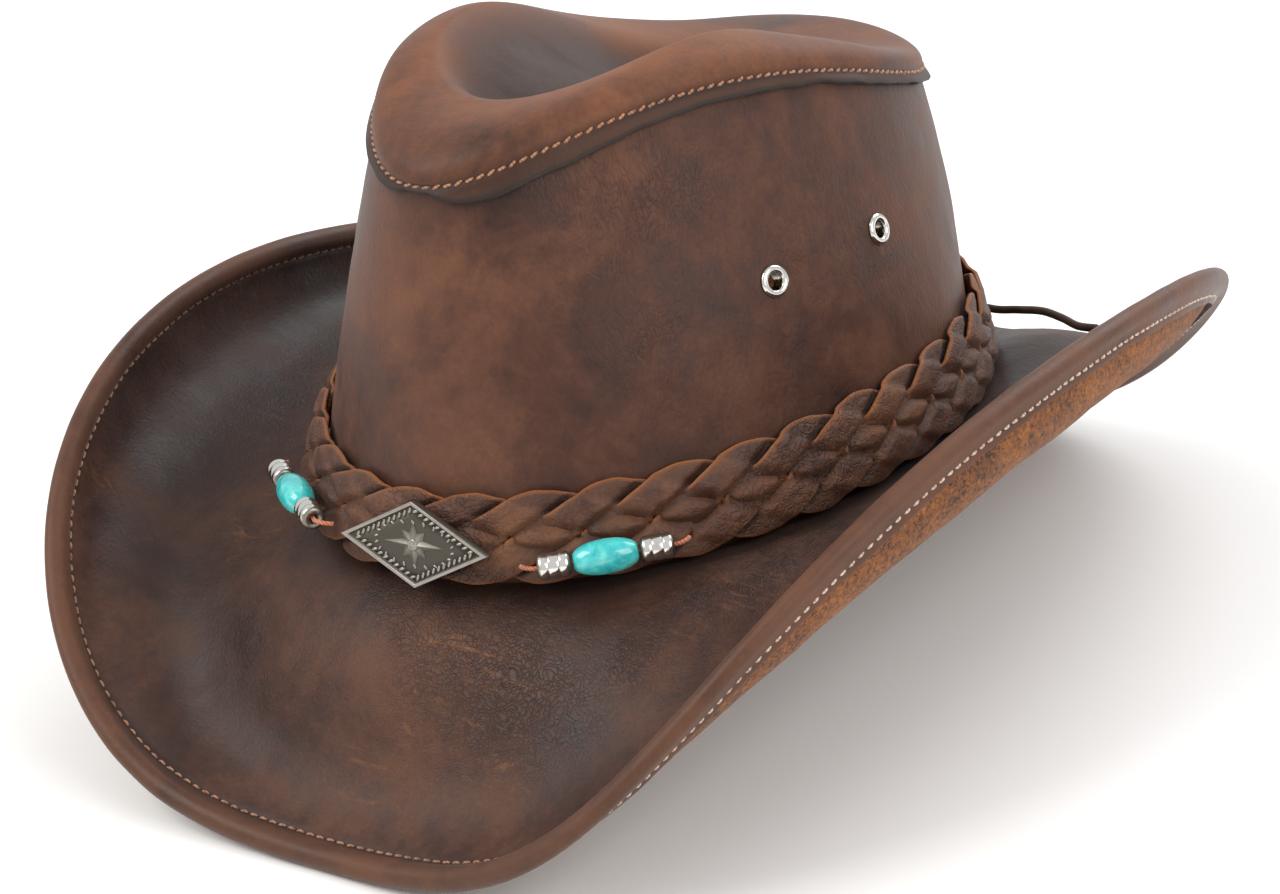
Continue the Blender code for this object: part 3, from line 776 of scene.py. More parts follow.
@dataclass(frozen=True)
class Suede:
    """The napped flesh side of the hide: matt, mottled and flecked with dark fibres."""

    name: str
    dark: str = "#2C1607"
    body: str = "#6E3D12"
    light: str = "#94591F"
    nap: float = 1.5

    def build(self) -> bpy.types.Material:
        """Builds the material."""
        made, tree, shader = start_material(self.name)
        spot = node(tree, "TexCoord").outputs["Object"]
        nap = noise_of(tree, spot, self.nap, 5.0, roughness=0.72, distortion=0.6)
        cloud = noise_of(tree, spot, 16.0, 3.0)
        tone = node(
            tree,
            "Math",
            {"operation": "MULTIPLY_ADD", 1: 0.30},
            {0: cloud, 2: nap},
        ).outputs[0]
        base = ramp(
            tree,
            share_of(tree, tone, 0.50, 0.82),
            ((0.0, self.dark), (0.42, self.body), (1.0, self.light)),
        )
        fibre = node(
            tree,
            "TexVoronoi",
            {"Scale": 1000 / 1.1, "Randomness": 1.0},
            {"Vector": spot},
        ).outputs[0]
        base = node(
            tree,
            "Mix",
            {"data_type": "RGBA", 6: colour("#2E160A")},
            {0: share_of(tree, fibre, 0.10, 0.30), 7: base},
        ).outputs[2]
        shade = mark_of(tree, "shade")
        base = tinted(tree, base, shade, colour(self.dark))
        tree.links.new(base, shader.inputs["Base Color"])
        shader.inputs["Roughness"].default_value = 0.95
        shader.inputs["Sheen Weight"].default_value = 0.06
        shader.inputs["Sheen Roughness"].default_value = 0.6
        bump = node(tree, "Bump", {"Strength": 0.8, "Distance": 0.35 * MM}, {"Height": nap})
        tree.links.new(bump.outputs[0], shader.inputs["Normal"])
        return made


@dataclass(frozen=True)
class Thread:
    """Waxed spun thread: a soft matt line with the twist of its plies."""

    name: str
    body: str
    dark: str
    twist: float = 0.9

    def build(self) -> bpy.types.Material:
        """Builds the material."""
        made, tree, shader = start_material(self.name)
        spot = node(tree, "TexCoord").outputs["Object"]
        plies = node(
            tree,
            "TexWave",
            {"Scale": 1000 / self.twist / 3.2, "Distortion": 1.5, "bands_direction": "DIAGONAL"},
            {"Vector": spot},
        ).outputs[0]
        age = noise_of(tree, spot, 6.0, 3.0)
        tone = node(
            tree,
            "Math",
            {"operation": "MULTIPLY_ADD", 1: 0.45},
            {0: plies, 2: age},
        ).outputs[0]
        base = ramp(tree, share_of(tree, tone, 0.35, 0.95), ((0.0, self.dark), (1.0, self.body)))
        tree.links.new(base, shader.inputs["Base Color"])
        shader.inputs["Roughness"].default_value = 0.62
        shader.inputs["Sheen Weight"].default_value = 0.25
        bump = node(tree, "Bump", {"Strength": 0.5, "Distance": 0.12 * MM}, {"Height": plies})
        tree.links.new(bump.outputs[0], shader.inputs["Normal"])
        return made


@dataclass(frozen=True)
class Metal:
    """Cast or pressed metal with tarnish held in its hollows."""

    name: str
    bright: str
    tarnish: str
    rough: tuple[float, float] = (0.22, 0.5)
    pits: float = 0.05
    grit: float = 0.8

    def build(self) -> bpy.types.Material:
        """Builds the material."""
        made, tree, shader = start_material(self.name)
        spot = node(tree, "TexCoord").outputs["Object"]
        cloud = noise_of(tree, spot, 4.0, 5.0, roughness=0.7)
        grit = noise_of(tree, spot, self.grit, 3.0)
        hollow = mark_of(tree, "hollow")
        dirt = node(
            tree,
            "Math",
            {"operation": "MULTIPLY_ADD", 1: 0.30, "use_clamp": True},
            {0: share_of(tree, cloud, 0.50, 0.75), 2: hollow},
        ).outputs[0]
        base = node(
            tree,
            "Mix",
            {"data_type": "RGBA", 6: colour(self.bright), 7: colour(self.tarnish)},
            {0: dirt},
        ).outputs[2]
        tree.links.new(base, shader.inputs["Base Color"])
        shader.inputs["Metallic"].default_value = 1.0
        tree.links.new(share_of(tree, dirt, 0.0, 0.9, *self.rough), shader.inputs["Roughness"])
        bump = node(tree, "Bump", {"Strength": 0.5, "Distance": self.pits * MM}, {"Height": grit})
        tree.links.new(bump.outputs[0], shader.inputs["Normal"])
        return made


@dataclass(frozen=True)
class Turquoise:
    """Polished turquoise stone: waxy blue-green with sandy and dark matrix."""

    name: str = "polished_turquoise"

    def build(self) -> bpy.types.Material:
        """Builds the material."""
        made, tree, shader = start_material(self.name)
        spot = node(tree, "TexCoord").outputs["Object"]
        cloud = noise_of(tree, spot, 5.0, 5.0, roughness=0.65, distortion=0.8)
        base = ramp(
            tree,
            cloud,
            ((0.30, "#1F9A9B"), (0.48, "#35B9B9"), (0.60, "#55CAC4"), (0.74, "#8DBBA6")),
        )
        swirl = noise_of(tree, spot, 3.0, 3.0, output=1)
        bent = node(
            tree,
            "Mix",
            {"data_type": "RGBA", "blend_type": "LINEAR_LIGHT", 0: 0.0025},
            {6: spot, 7: swirl},
        ).outputs[2]
        vein = node(
            tree,
            "TexVoronoi",
            {"Scale": 1000 / 4.4, "feature": "DISTANCE_TO_EDGE"},
            {"Vector": bent},
        ).outputs[0]
        vein = share_of(tree, vein, 0.0, 0.07, 0.62, 0.0)
        patchy = product(tree, vein, share_of(tree, cloud, 0.40, 0.62))
        base = tinted(tree, base, patchy, colour("#6F8F7E"))
        tree.links.new(base, shader.inputs["Base Color"])
        shader.inputs["Roughness"].default_value = 0.20
        shader.inputs["IOR"].default_value = 1.61
        shader.inputs["Coat Weight"].default_value = 0.4
        shader.inputs["Coat Roughness"].default_value = 0.08
        return made


@dataclass
class Finishes:
    """Every finish of the hat, built once."""

    crown: bpy.types.Material = field(init=False)

    def __post_init__(self) -> None:
        """Builds the finishes."""
        self.crown = Leather(
            "oiled_crown_leather",
            "#26140D",
            "#46281B",
            "#66402C",
            crackle=1.9,
            crackle_depth=0.18,
            stretch=(1.0, 1.0, 0.38),
            scuffing=0.30,
        ).build()
        self.tip = Leather(
            "oiled_tip_leather",
            "#2E190E",
            "#5A3420",
            "#7A4A2C",
            scuff="#8A5A32",
            # the tip's near-black edge colour paints its cut edge together with the shade under
            # the lap's hanging edge
            edge="#241812",
            scuffing=0.35,
            rough=(0.46, 0.66),
        ).build()
        self.brim = Leather(
            "oiled_brim_leather",
            "#1C0E09",
            "#392016",
            "#5E3B27",
            scuff="#8A5A2E",
            crackle=1.7,
            crackle_depth=0.15,
            scuffing=0.7,
            rough=(0.38, 0.60),
            cloud=42.0,
        ).build()
        self.flesh = Suede("brown_suede").build()
        self.lining = Suede("crown_flesh_side", "#5A3B24", "#7C5434", "#92683F").build()
        self.cut = Suede("cut_leather_edge", "#1C120D", "#33211A", "#57392A", 0.8).build()
        self.strand = Leather(
            "braid_leather",
            "#2A1811",
            "#4E3022",
            "#70492F",
            scuff="#84562F",
            edge="#8E5226",
            cloud=16.0,
            grain=0.9,
            grain_depth=0.08,
            crackle=2.4,
            crackle_depth=0.32,
            scuffing=0.3,
            rough=(0.42, 0.62),
        ).build()
        self.strand_flesh = Suede("braid_flesh_side", "#6A3C1A", "#93592A", "#AC7238", 0.9).build()
        self.sweat = Leather(
            "sweatband_leather",
            "#6E4526",
            "#96643A",
            "#B07E50",
            scuff="#B58A5C",
            crackle_depth=0.05,
            grain_depth=0.05,
            scuffing=0.2,
        ).build()
        self.lace = Leather(
            "lace_leather",
            "#241813",
            "#3D2A20",
            "#5C4232",
            cloud=9.0,
            grain=0.7,
            grain_depth=0.06,
            scuffing=0.2,
        ).build()
        self.thread = Thread("tan_waxed_thread", "#A87552", "#6A3F28").build()
        self.pale_thread = Thread("pale_waxed_thread", "#CBB8A6", "#93755F").build()
        self.copper = Thread("copper_cord", "#C8714A", "#743418", 0.7).build()
        # near-black dimples at the needle holes: painted shade inside the holes
        self.needle_hole_shade = Suede("needle_hole_shade", "#0E0907", "#17100C", "#221812", 0.6).build()
        self.nickel = Metal(
            "nickelled_eyelet_brass",
            "#D9D7D0",
            "#8A857B",
            (0.16, 0.36),
            0.02,
        ).build()
        self.silver = Metal("cast_bead_silver", "#DDDAD3", "#6F675C", (0.14, 0.38), 0.06).build()
        self.pewter = Metal(
            "darkened_plate_silver",
            "#9C968E",
            "#5A554D",
            (0.34, 0.60),
            0.05,
            0.5,
        ).build()
        self.steel = Metal("spring_steel", "#9A9A98", "#5B5A57", (0.25, 0.4), 0.01).build()
        self.stone = Turquoise().build()


def dress(piece: bpy.types.Object, *finishes: bpy.types.Material) -> bpy.types.Object:
    """Gives a piece its finishes, in the order of its slots."""
    piece.data.materials.clear()
    for finish in finishes:
        piece.data.materials.append(finish)
    return piece


def settle(piece: bpy.types.Object, body: str, slot: str, *nodes: str) -> bpy.types.Object:
    """Makes a piece ride on a body and stand for nodes of the frame.

    Args:
        piece: The finished piece.
        body: The body that it rides on.
        slot: The record's material slot; not used.
        nodes: The nodes that it replaces.

    Returns:
        The piece.
    """
    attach(piece, body)
    if nodes:
        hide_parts(*nodes)
    LOG.info("%s: %d faces on %s", piece.name, len(piece.data.polygons), body)
    return piece


# ---- stitches ----


@dataclass
class Stitching:
    """Lockstitches along a line: each a short arch of thread with a needle hole between."""

    pitch: float = 3.2
    thread: float = 0.42
    slant: float = 0.16
    lift: float = 0.25

    def stitch(self, length: float) -> bpy.types.Object:
        """Models one stitch at the origin, along X, with its ends bent down."""
        bpy.ops.mesh.primitive_uv_sphere_add(segments=6, ring_count=7, radius=MM)
        piece = new_piece("one_stitch")
        for vert in piece.data.vertices:
            x, y, z = vert.co / MM
            along = math.copysign(abs(z) ** 0.75, z)
            vert.co = Vector(
                (along * length / 2, x * self.thread, y * self.thread - abs(along) ** 2.4 * 0.42)
            ) * MM
        edit(piece, face_out)
        return piece

    def hole(self) -> bpy.types.Object:
        """Models one needle hole as a small dark dimple at the origin, whose near-black colour is
        painted shade inside the hole.
        """
        bpy.ops.mesh.primitive_uv_sphere_add(segments=8, ring_count=4, radius=MM)
        piece = new_piece("one_needle_hole")
        for vert in piece.data.vertices:
            vert.co = Vector((vert.co.x * 0.52, vert.co.y * 0.42, vert.co.z * 0.10))
        return piece

    def places(
        self, line: Callable[[float], tuple[Vector, Vector]], between: bool, count: int = 1440
    ) -> list[Matrix]:
        """Placements at even steps along a closed line.

        Args:
            line: Gives the point and the outward direction at an angle.
            between: Whether they fall between the stitches, as the holes do.
            count: How finely the line is measured.

        Returns:
            One placement for each stitch or hole.
        """
        angles = np.linspace(0.0, 2 * math.pi, count + 1)
        points = np.array([line(float(a))[0] for a in angles])
        run = np.concatenate([[0.0], np.cumsum(np.linalg.norm(np.diff(points, axis=0), axis=1))])
        number = round(run[-1] / self.pitch)
        made = []
        for i in range(number):
            jitter = 0.10 * math.sin(i * 12.9898) if not between else 0.0
            goal = (i + (0.5 if between else 0.0) + jitter) * run[-1] / number
            angle = float(np.interp(goal, run, angles))
            point, out = line(angle)
            step = 0.002
            along = (line(angle + step)[0] - line(angle - step)[0]).normalized()
            out = (out - along * out.dot(along)).normalized()
            side = out.cross(along)
            turn = self.slant * (1.0 + 0.5 * math.sin(i * 3.7)) if not between else 0.0
            x = along * math.cos(turn) + side * math.sin(turn)
            place = Matrix((x, out.cross(x), out)).transposed().to_4x4()
            place.translation = in_place(point + out * (0.0 if between else self.lift))
            made.append(place)
        return made


# ---- the brim ----


@dataclass
class Brim:
    """The brim: one sheet of hide whose edge is folded over a wire and stitched."""

    finishes: Finishes
    stations: int = 420
    groove: float = 0.45

    def above(self, share: float) -> float:
        """How far the surface stands above its plain curve."""
        away = (share - FORM.stitch_share) * FORM.brim_width
        lift = 1.3 * smooth(share, FORM.stitch_share + 0.012, 0.957)
        lift -= self.groove * hump(away, 0.0, 1.1)
        return lift

    def surface(self, angle: float, share: float) -> Vector:
        """A point on the flat part of the brim."""
        here, _, upward = FORM.brim_frame(angle, share)
        fade = smooth(share, 0.0, 0.15)
        rough = 0.45 * rumple(here, 21.0) + 0.18 * rumple(here, 7.0, 3.0)
        return here + upward * (self.above(share) + rough * fade)

    def fold(self, angle: float, turn: float) -> Vector:
        """A point on the rolled edge, with the turn in degrees from above to below."""
        here, outward, upward = FORM.brim_frame(angle, 1.0)
        bend = FORM.fold_bend
        way = math.radians(turn)
        out = bend * (math.cos(way) - 1.0)
        up = bend * math.sin(way) - (FORM.brim + GAP) / 2
        rough = 0.20 * rumple(here, 13.0, 5.0)
        return here + outward * (out + rough) + upward * up

    def hem(self, angle: float, back: float) -> Vector:
        """A point on the strip folded under, this far in from the edge."""
        edge = FORM.rim_line(angle)
        ragged = 0.45 * rumple(edge, 5.0, 9.0) + 0.5 * rumple(edge, 23.0, 2.0)
        back += ragged * smooth(back, FORM.hem_width - 2.0, FORM.hem_width)
        here, _, upward = FORM.brim_frame(angle, 1.0 - back / FORM.brim_width)
        press = 0.35 * hump(back, FORM.stitch_inset, 1.0)
        rough = 0.45 * rumple(here, 21.0) + 0.18 * rumple(here, 7.0, 3.0)
        return here + upward * (press + rough - (FORM.brim + GAP) - 0.05)

    def place(self, angle: float, row: float) -> Vector:
        """A point of the whole sheet: below 0 the allowance, past 1 the fold, past 2 the hem."""
        inset = FORM.wall / 2 + GAP + FORM.brim / 2
        if row < -0.5:
            height = FORM.head_line(angle).z + FORM.allowance
            return FORM.wall_point(angle, FORM.wall_share(angle, height), -inset)
        if row < 0.0:
            return FORM.head_line(angle, -inset, -FORM.seam_dip)
        if row <= 1.0:
            return self.surface(angle, row)
        if row < 2.0:
            return self.fold(angle, 125.0 - 250.0 * (row - 1.0))
        back = FORM.fold_bend * 2.4
        return self.hem(angle, back + (row - 2.0) * (FORM.hem_width - back))

    @staticmethod
    def wear_and_highlight(angle: float, row: float, point: Vector) -> float:
        """How rubbed the leather is, most on the rolled edge, with a painted highlight on the
        front of the brim near the crown.
        """
        lightened = 0.55 * smooth(row, 0.93, 0.975)
        if row > 1.0:
            lightened = 0.75
        # the lighter patch in front of the crown is a painted highlight, not wear
        return min(lightened + 0.45 * angle_hump(angle, -12.0, 26.0) * hump(row, 0.30, 0.16), 1.0)

    @staticmethod
    def shade(angle: float, row: float, point: Vector) -> float:
        """How dark the leather is: along the stitches and beside the crown."""
        line = 0.65 * hump((row - FORM.stitch_share) * FORM.brim_width, 0.0, 1.2)
        side = 0.6 * angle_hump(angle, -62.0, 42.0) * hump(row, 0.45, 0.35)
        return min(line + side + 0.5 * (1.0 - smooth(row, 0.02, 0.18)), 1.0)

    @staticmethod
    def crackle(angle: float, row: float, point: Vector) -> float:
        """How creased the leather is: most in front of the band."""
        front = angle_hump(angle, 30.0, 62.0) + 0.5 * angle_hump(angle, -120.0, 70.0)
        return min(0.15 + front * hump(row, 0.22, 0.30), 1.0)

    def build(self) -> None:
        """Builds the brim, its wire and its stitches."""
        turns = [2 * math.pi * i / self.stations for i in range(self.stations + 1)]
        flat = [0.0, 0.012, 0.025, *np.linspace(0.04, 0.87, 30)]
        near = [*np.linspace(0.88, 0.93, 13), 0.936, 0.942, 0.948]
        fold = [1.0 + i / 16 + 1e-6 for i in range(16)]
        rows = [-1.0, -0.2, *flat, *near, *fold, 2.0, 2.15, 2.35, 2.5, 2.58, 2.66, 2.74, 2.85, 3.0]
        marks = {"wear_and_highlight": self.wear_and_highlight, "shade": self.shade, "crackle": self.crackle}
        sheet = laid_sheet("brim_hide", turns, rows, self.place, marks, flip=True)
        dress(sheet, self.finishes.brim, self.finishes.flesh, self.finishes.cut)
        thicken(sheet, FORM.brim, 1, 2)
        settle(sheet, "hat_shell", "brim_leather", "brim")
        self.stitches()
        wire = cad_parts["brim_wire"]
        dress(wire, self.finishes.steel)

    def stitches(self) -> None:
        """Sews the hem, above and below."""
        sewing = Stitching(3.4, 0.42, 0.10, 0.22)

        def top(angle: float) -> tuple[Vector, Vector]:
            """The line of stitches on the brim."""
            _, _, upward = FORM.brim_frame(angle, FORM.stitch_share)
            return self.surface(angle, FORM.stitch_share) + upward * (FORM.brim / 2), upward

        def under(angle: float) -> tuple[Vector, Vector]:
            """The line of stitches under the brim."""
            _, _, upward = FORM.brim_frame(angle, FORM.stitch_share)
            return self.hem(angle, FORM.stitch_inset) - upward * (FORM.brim / 2), -upward

        upper = run_along("hem_stitches_top", sewing.stitch(2.7), sewing.places(top, False))
        settle(dress(upper, self.finishes.thread), "hat_shell", "stitch_thread", "brim_hem_thread")
        lower = run_along("hem_stitches_under", sewing.stitch(2.5), sewing.places(under, False))
        settle(dress(lower, self.finishes.pale_thread), "hat_shell", "stitch_thread")
        holes = run_along(
            "hem_needle_holes", sewing.hole(), sewing.places(top, True) + sewing.places(
                under,
                True,
            )
        )
        settle(dress(holes, self.finishes.needle_hole_shade), "hat_shell", "stitch_thread")


# ---- the crown ----


@dataclass
class Crown:
    """The crown: a wall round the head and a tip lapped over it, creased along the middle."""

    finishes: Finishes
    stations: int = 420
    groove: float = 0.55
    stitch_drop: float = 2.0

    def wall_place(self, angle: float, row: float) -> Vector:
        """A point of the wall."""
        top = 1.0 - 0.8 / FORM.seam_line(angle).z
        here = FORM.wall_point(angle, row * top)
        fade = math.sin(math.pi * min(max(row, 0.0), 1.0))
        rough = 0.7 * rumple(here, 34.0, 11.0) + 0.22 * rumple(here, 11.0, 4.0)
        return here + FORM.head_normal(angle) * rough * fade

    def lap(self, angle: float) -> float:
        """How far the tip's cut edge hangs below its seam."""
        spot = FORM.seam_line(angle)
        gap = 3.5 + 2.3 * angle_hump(angle, 42.0, 24.0) + 1.2 * angle_hump(angle, 20.0, 12.0)
        gap -= 2.6 * angle_hump(angle, 0.0, 9.0)
        gap += 0.8 * rumple(spot, 24.0, 6.0) + 0.6 * rumple(spot, 6.0, 8.0)
        return self.stitch_drop + max(gap, 1.2)

    def tip_place(self, angle: float, row: float) -> Vector:
        """A point of the tip: below 0 the lap, to 1 the shoulder, to 2 the crease."""
        if row < 0.0:
            drop = -row * self.lap(angle)
            share = 1.0 - drop / FORM.seam_line(angle).z
            curl = 0.8 * smooth(-row, 0.55, 1.0) * (0.6 + rumple(FORM.seam_line(angle), 17.0, 1.0))
            dent = self.groove * hump(drop, self.stitch_drop, 1.2)
            return FORM.wall_point(angle, share, FORM.tip_out + max(curl, 0.0) - dent)
        seam = FORM.wall_point(angle, 1.0, FORM.tip_out)
        ridge = FORM.ridge_line(angle)
        rise = (seam - FORM.wall_point(angle, 0.9, FORM.tip_out)).normalized()
        shoulder = seam + rise * ((ridge.z - seam.z) / max(rise.z, 0.3) * 0.9)
        if row <= 1.0:
            point = bezier((seam, shoulder, ridge), row)
        else:
            floor = FORM.crease_line(angle)
            over = ridge + (ridge - shoulder) * 0.45
            inward = floor + Vector((ridge.x - floor.x, ridge.y - floor.y, 0.0)) * 0.55
            point = bezier((ridge, over, inward, floor), row - 1.0)
        dent = self.groove * 0.12 * hump(row, 0.0, 0.08)
        swell = 0.5 * rumple(point, 30.0, 7.0) * smooth(row, 0.0, 0.4) * (
            1.0 - smooth(row, 1.7, 2.0)
        )
        return point + Vector((0.0, 0.0, swell)) - FORM.head_normal(angle) * dent

    def lap_wear(self, angle: float, row: float, point: Vector) -> float:
        """How rubbed the tip is: most along its ridge."""
        return 0.45 * hump(row, 1.0, 0.35)

    def lap_shade(self, angle: float, row: float, point: Vector) -> float:
        """How dark the tip is: along its stitches, on its lap and down in the crease."""
        drop = -row * self.lap(angle) if row < 0 else -row * 6.0
        line = 0.6 * hump(drop, self.stitch_drop, 1.3) + 0.75 * smooth(-row, 0.28, 0.5)
        return min(line + 0.95 * smooth(row, 1.02, 1.6), 1.0)

    def build(self) -> None:
        """Builds the wall, the tip, their stitches and the sweatband."""
        turns = [2 * math.pi * i / self.stations for i in range(self.stations + 1)]
        marks = {
            "crackle": lambda a, r, p: min(
                0.2 + 0.8 * angle_hump(a, 62.0, 40.0) * hump(r, 0.72, 0.28),
                1.0,
            ),
            "shade": lambda a, r, p: 0.55 * smooth(r, 0.90, 0.99) + 0.35 * (
                1.0 - smooth(r, 0.15, 0.32)
            ),
            # two lighter upright bands on the wall, round the wearer's left back and the front,
            # are painted highlights, not wear
            "wear_and_highlight": lambda a, r, p: 0.35 * angle_hump(
                a,
                118.0,
                24.0,
            ) + 0.25 * angle_hump(a, -5.0, 20.0),
        }
        rows = list(np.linspace(0.0, 1.0, 61))
        wall = laid_sheet("crown_wall_hide", turns, rows, self.wall_place, marks)
        dress(wall, self.finishes.crown, self.finishes.lining, self.finishes.cut)
        thicken(wall, FORM.wall, 1, 2)
        self.pierce(wall)
        settle(wall, "hat_shell", "crown_leather", "crown_wall")
        lap = [-1.0, -0.97, -0.9, -0.8, -0.7, *np.linspace(-0.62, -0.12, 11)]
        rows = [*lap, *np.linspace(0.0, 1.0, 22), *(1.0 + np.linspace(0.04, 1.0, 34))]
        marks = {
            "wear_and_highlight": self.lap_wear,
            "shade": self.lap_shade,
            # a dark band along the lap's lower edge: its cut edge, plus painted shade under the
            # overhang
            "edge": lambda a, r, p: smooth(-r, 0.80, 0.92),
        }
        tip = laid_sheet("crown_tip_hide", turns, rows, self.tip_place, marks)
        dress(tip, self.finishes.tip, self.finishes.lining, self.finishes.cut)
        thicken(tip, FORM.tip, 1, 2)
        settle(tip, "hat_shell", "crown_leather", "crown_tip")
        self.stitches()
        self.sweatband()

    def pierce(self, wall: bpy.types.Object) -> None:
        """Opens the eyelets' holes by taking out the faces inside them."""
        spots = [place.translation for _, place in Eyelets.places()]
        mesh = wall.data
        middles = np.empty(len(mesh.polygons) * 3)
        mesh.polygons.foreach_get("center", middles)
        middles = middles.reshape(-1, 3)
        near = np.zeros(len(middles), bool)
        for spot in spots:
            near |= np.linalg.norm(middles - np.array(spot), axis=1) < 3.4 * MM
        bpy.ops.object.select_all(action="DESELECT")
        bpy.context.view_layer.objects.active = wall
        bpy.ops.object.mode_set(mode="EDIT")
        bpy.ops.mesh.select_mode(type="FACE")
        bpy.ops.mesh.select_all(action="DESELECT")
        bpy.ops.object.mode_set(mode="OBJECT")
        mesh.polygons.foreach_set("select", near)
        bpy.ops.object.mode_set(mode="EDIT")
        bpy.ops.mesh.delete(type="FACE")
        bpy.ops.object.mode_set(mode="OBJECT")

    def stitches(self) -> None:
        """Sews the tip to the wall."""
        sewing = Stitching(3.1, 0.46, 0.30, 0.22)

        def line(angle: float) -> tuple[Vector, Vector]:
            """The line of stitches on the lap."""
            share = 1.0 - self.stitch_drop / FORM.seam_line(angle).z
            out = FORM.tip_out + FORM.tip / 2 - self.groove
            return FORM.wall_point(angle, share, out), FORM.wall_normal(angle, share)

        sewn = run_along("tip_stitches", sewing.stitch(2.7), sewing.places(line, False))
        settle(dress(sewn, self.finishes.thread), "hat_shell", "stitch_thread", "tip_seam_thread")
        holes = run_along("tip_needle_holes", sewing.hole(), sewing.places(line, True))
        settle(dress(holes, self.finishes.needle_hole_shade), "hat_shell", "stitch_thread")

    def band_inside(self, angle: float, row: float, extra: float = 0.0) -> Vector:
        """A point of the sweatband."""
        inset = FORM.wall / 2 + GAP + FORM.brim + GAP + FORM.sweatband / 2
        low = -FORM.saddle - FORM.tilt - 0.5
        height = low + (34.0 - low) * row
        share = max(FORM.wall_share(angle, height), 0.0)
        point = FORM.wall_point(angle, share, -inset - extra)
        point.z = height
        return point

    def sweatband(self) -> None:
        """Builds the sweatband and its stitches."""
        turns = [2 * math.pi * i / 240 for i in range(241)]
        rows = list(np.linspace(0.0, 1.0, 19))
        marks = {"wear_and_highlight": lambda a, r, p: 0.5 * smooth(r, 0.88, 1.0)}
        band = laid_sheet("sweatband_hide", turns, rows, self.band_inside, marks, flip=True)
        dress(band, self.finishes.sweat, self.finishes.lining)
        thicken(band, FORM.sweatband, 1, 1)
        settle(band, "hat_shell", "sweatband_leather", "sweatband")
        sewing = Stitching(3.6, 0.38, 0.08, 0.15)

        def line(angle: float) -> tuple[Vector, Vector]:
            """The line of stitches inside the sweatband."""
            return self.band_inside(angle, 1.0 / 6.0, FORM.sweatband / 2), -FORM.head_normal(angle)

        sewn = run_along("sweatband_stitches", sewing.stitch(2.8), sewing.places(line, False, 720))
        settle(dress(sewn, self.finishes.thread), "hat_shell", "stitch_thread", "sweatband_thread")


# ---- the eyelets ----


@dataclass
class Eyelets:
    """The pressed eyelets in each side of the crown, each with a washer inside."""

    finishes: Finishes

    @staticmethod
    def places() -> list[tuple[str, Matrix]]:
        """The name and placement of each eyelet."""
        made = []
        for side in Side:
            for where, offset in (("front", -EYELET_SPREAD), ("rear", EYELET_SPREAD)):
                angle = math.radians(side.value * (EYELET_AROUND + offset))
                share = FORM.wall_share(angle, EYELET_HEIGHT)
                spot = FORM.wall_point(angle, share)
                name = f"eyelet_{side.name.lower()}_{where}"
                made.append((name, facing(spot, FORM.wall_normal(angle, share))))
        return made

    def build(self) -> None:
        """Builds the eyelets and their washers."""
        face = FORM.wall / 2
        flange = face + 0.15
        back = -face - 0.7 - 0.6 - GAP
        roll = [
            (math.cos(t) * 1.08 + 3.38, flange + 0.1 + max(math.sin(t), -0.1) * 0.95)
            for t in np.linspace(-0.1, math.pi, 11)
        ]
        profile = [(2.3, back), (3.0, back), (3.0, flange), *roll, (2.3, flange - 0.3)]
        washer_top = -face - 0.7
        washer = [
            (3.3, washer_top - 0.6),
            (4.4, washer_top - 0.6),
            (4.6, washer_top - 0.4),
            (4.6, washer_top),
            (3.3, washer_top),
        ]
        for name, place in self.places():
            ring = dress(spun(name + "_ring", profile, place, 36), self.finishes.nickel)
            settle(ring, "hat_shell", "eyelet_metal", name)
            plate = dress(spun(name + "_back", washer, place, 32), self.finishes.nickel)
            settle(plate, "hat_shell", "eyelet_metal", name + "_washer")


# ---- the braided band ----


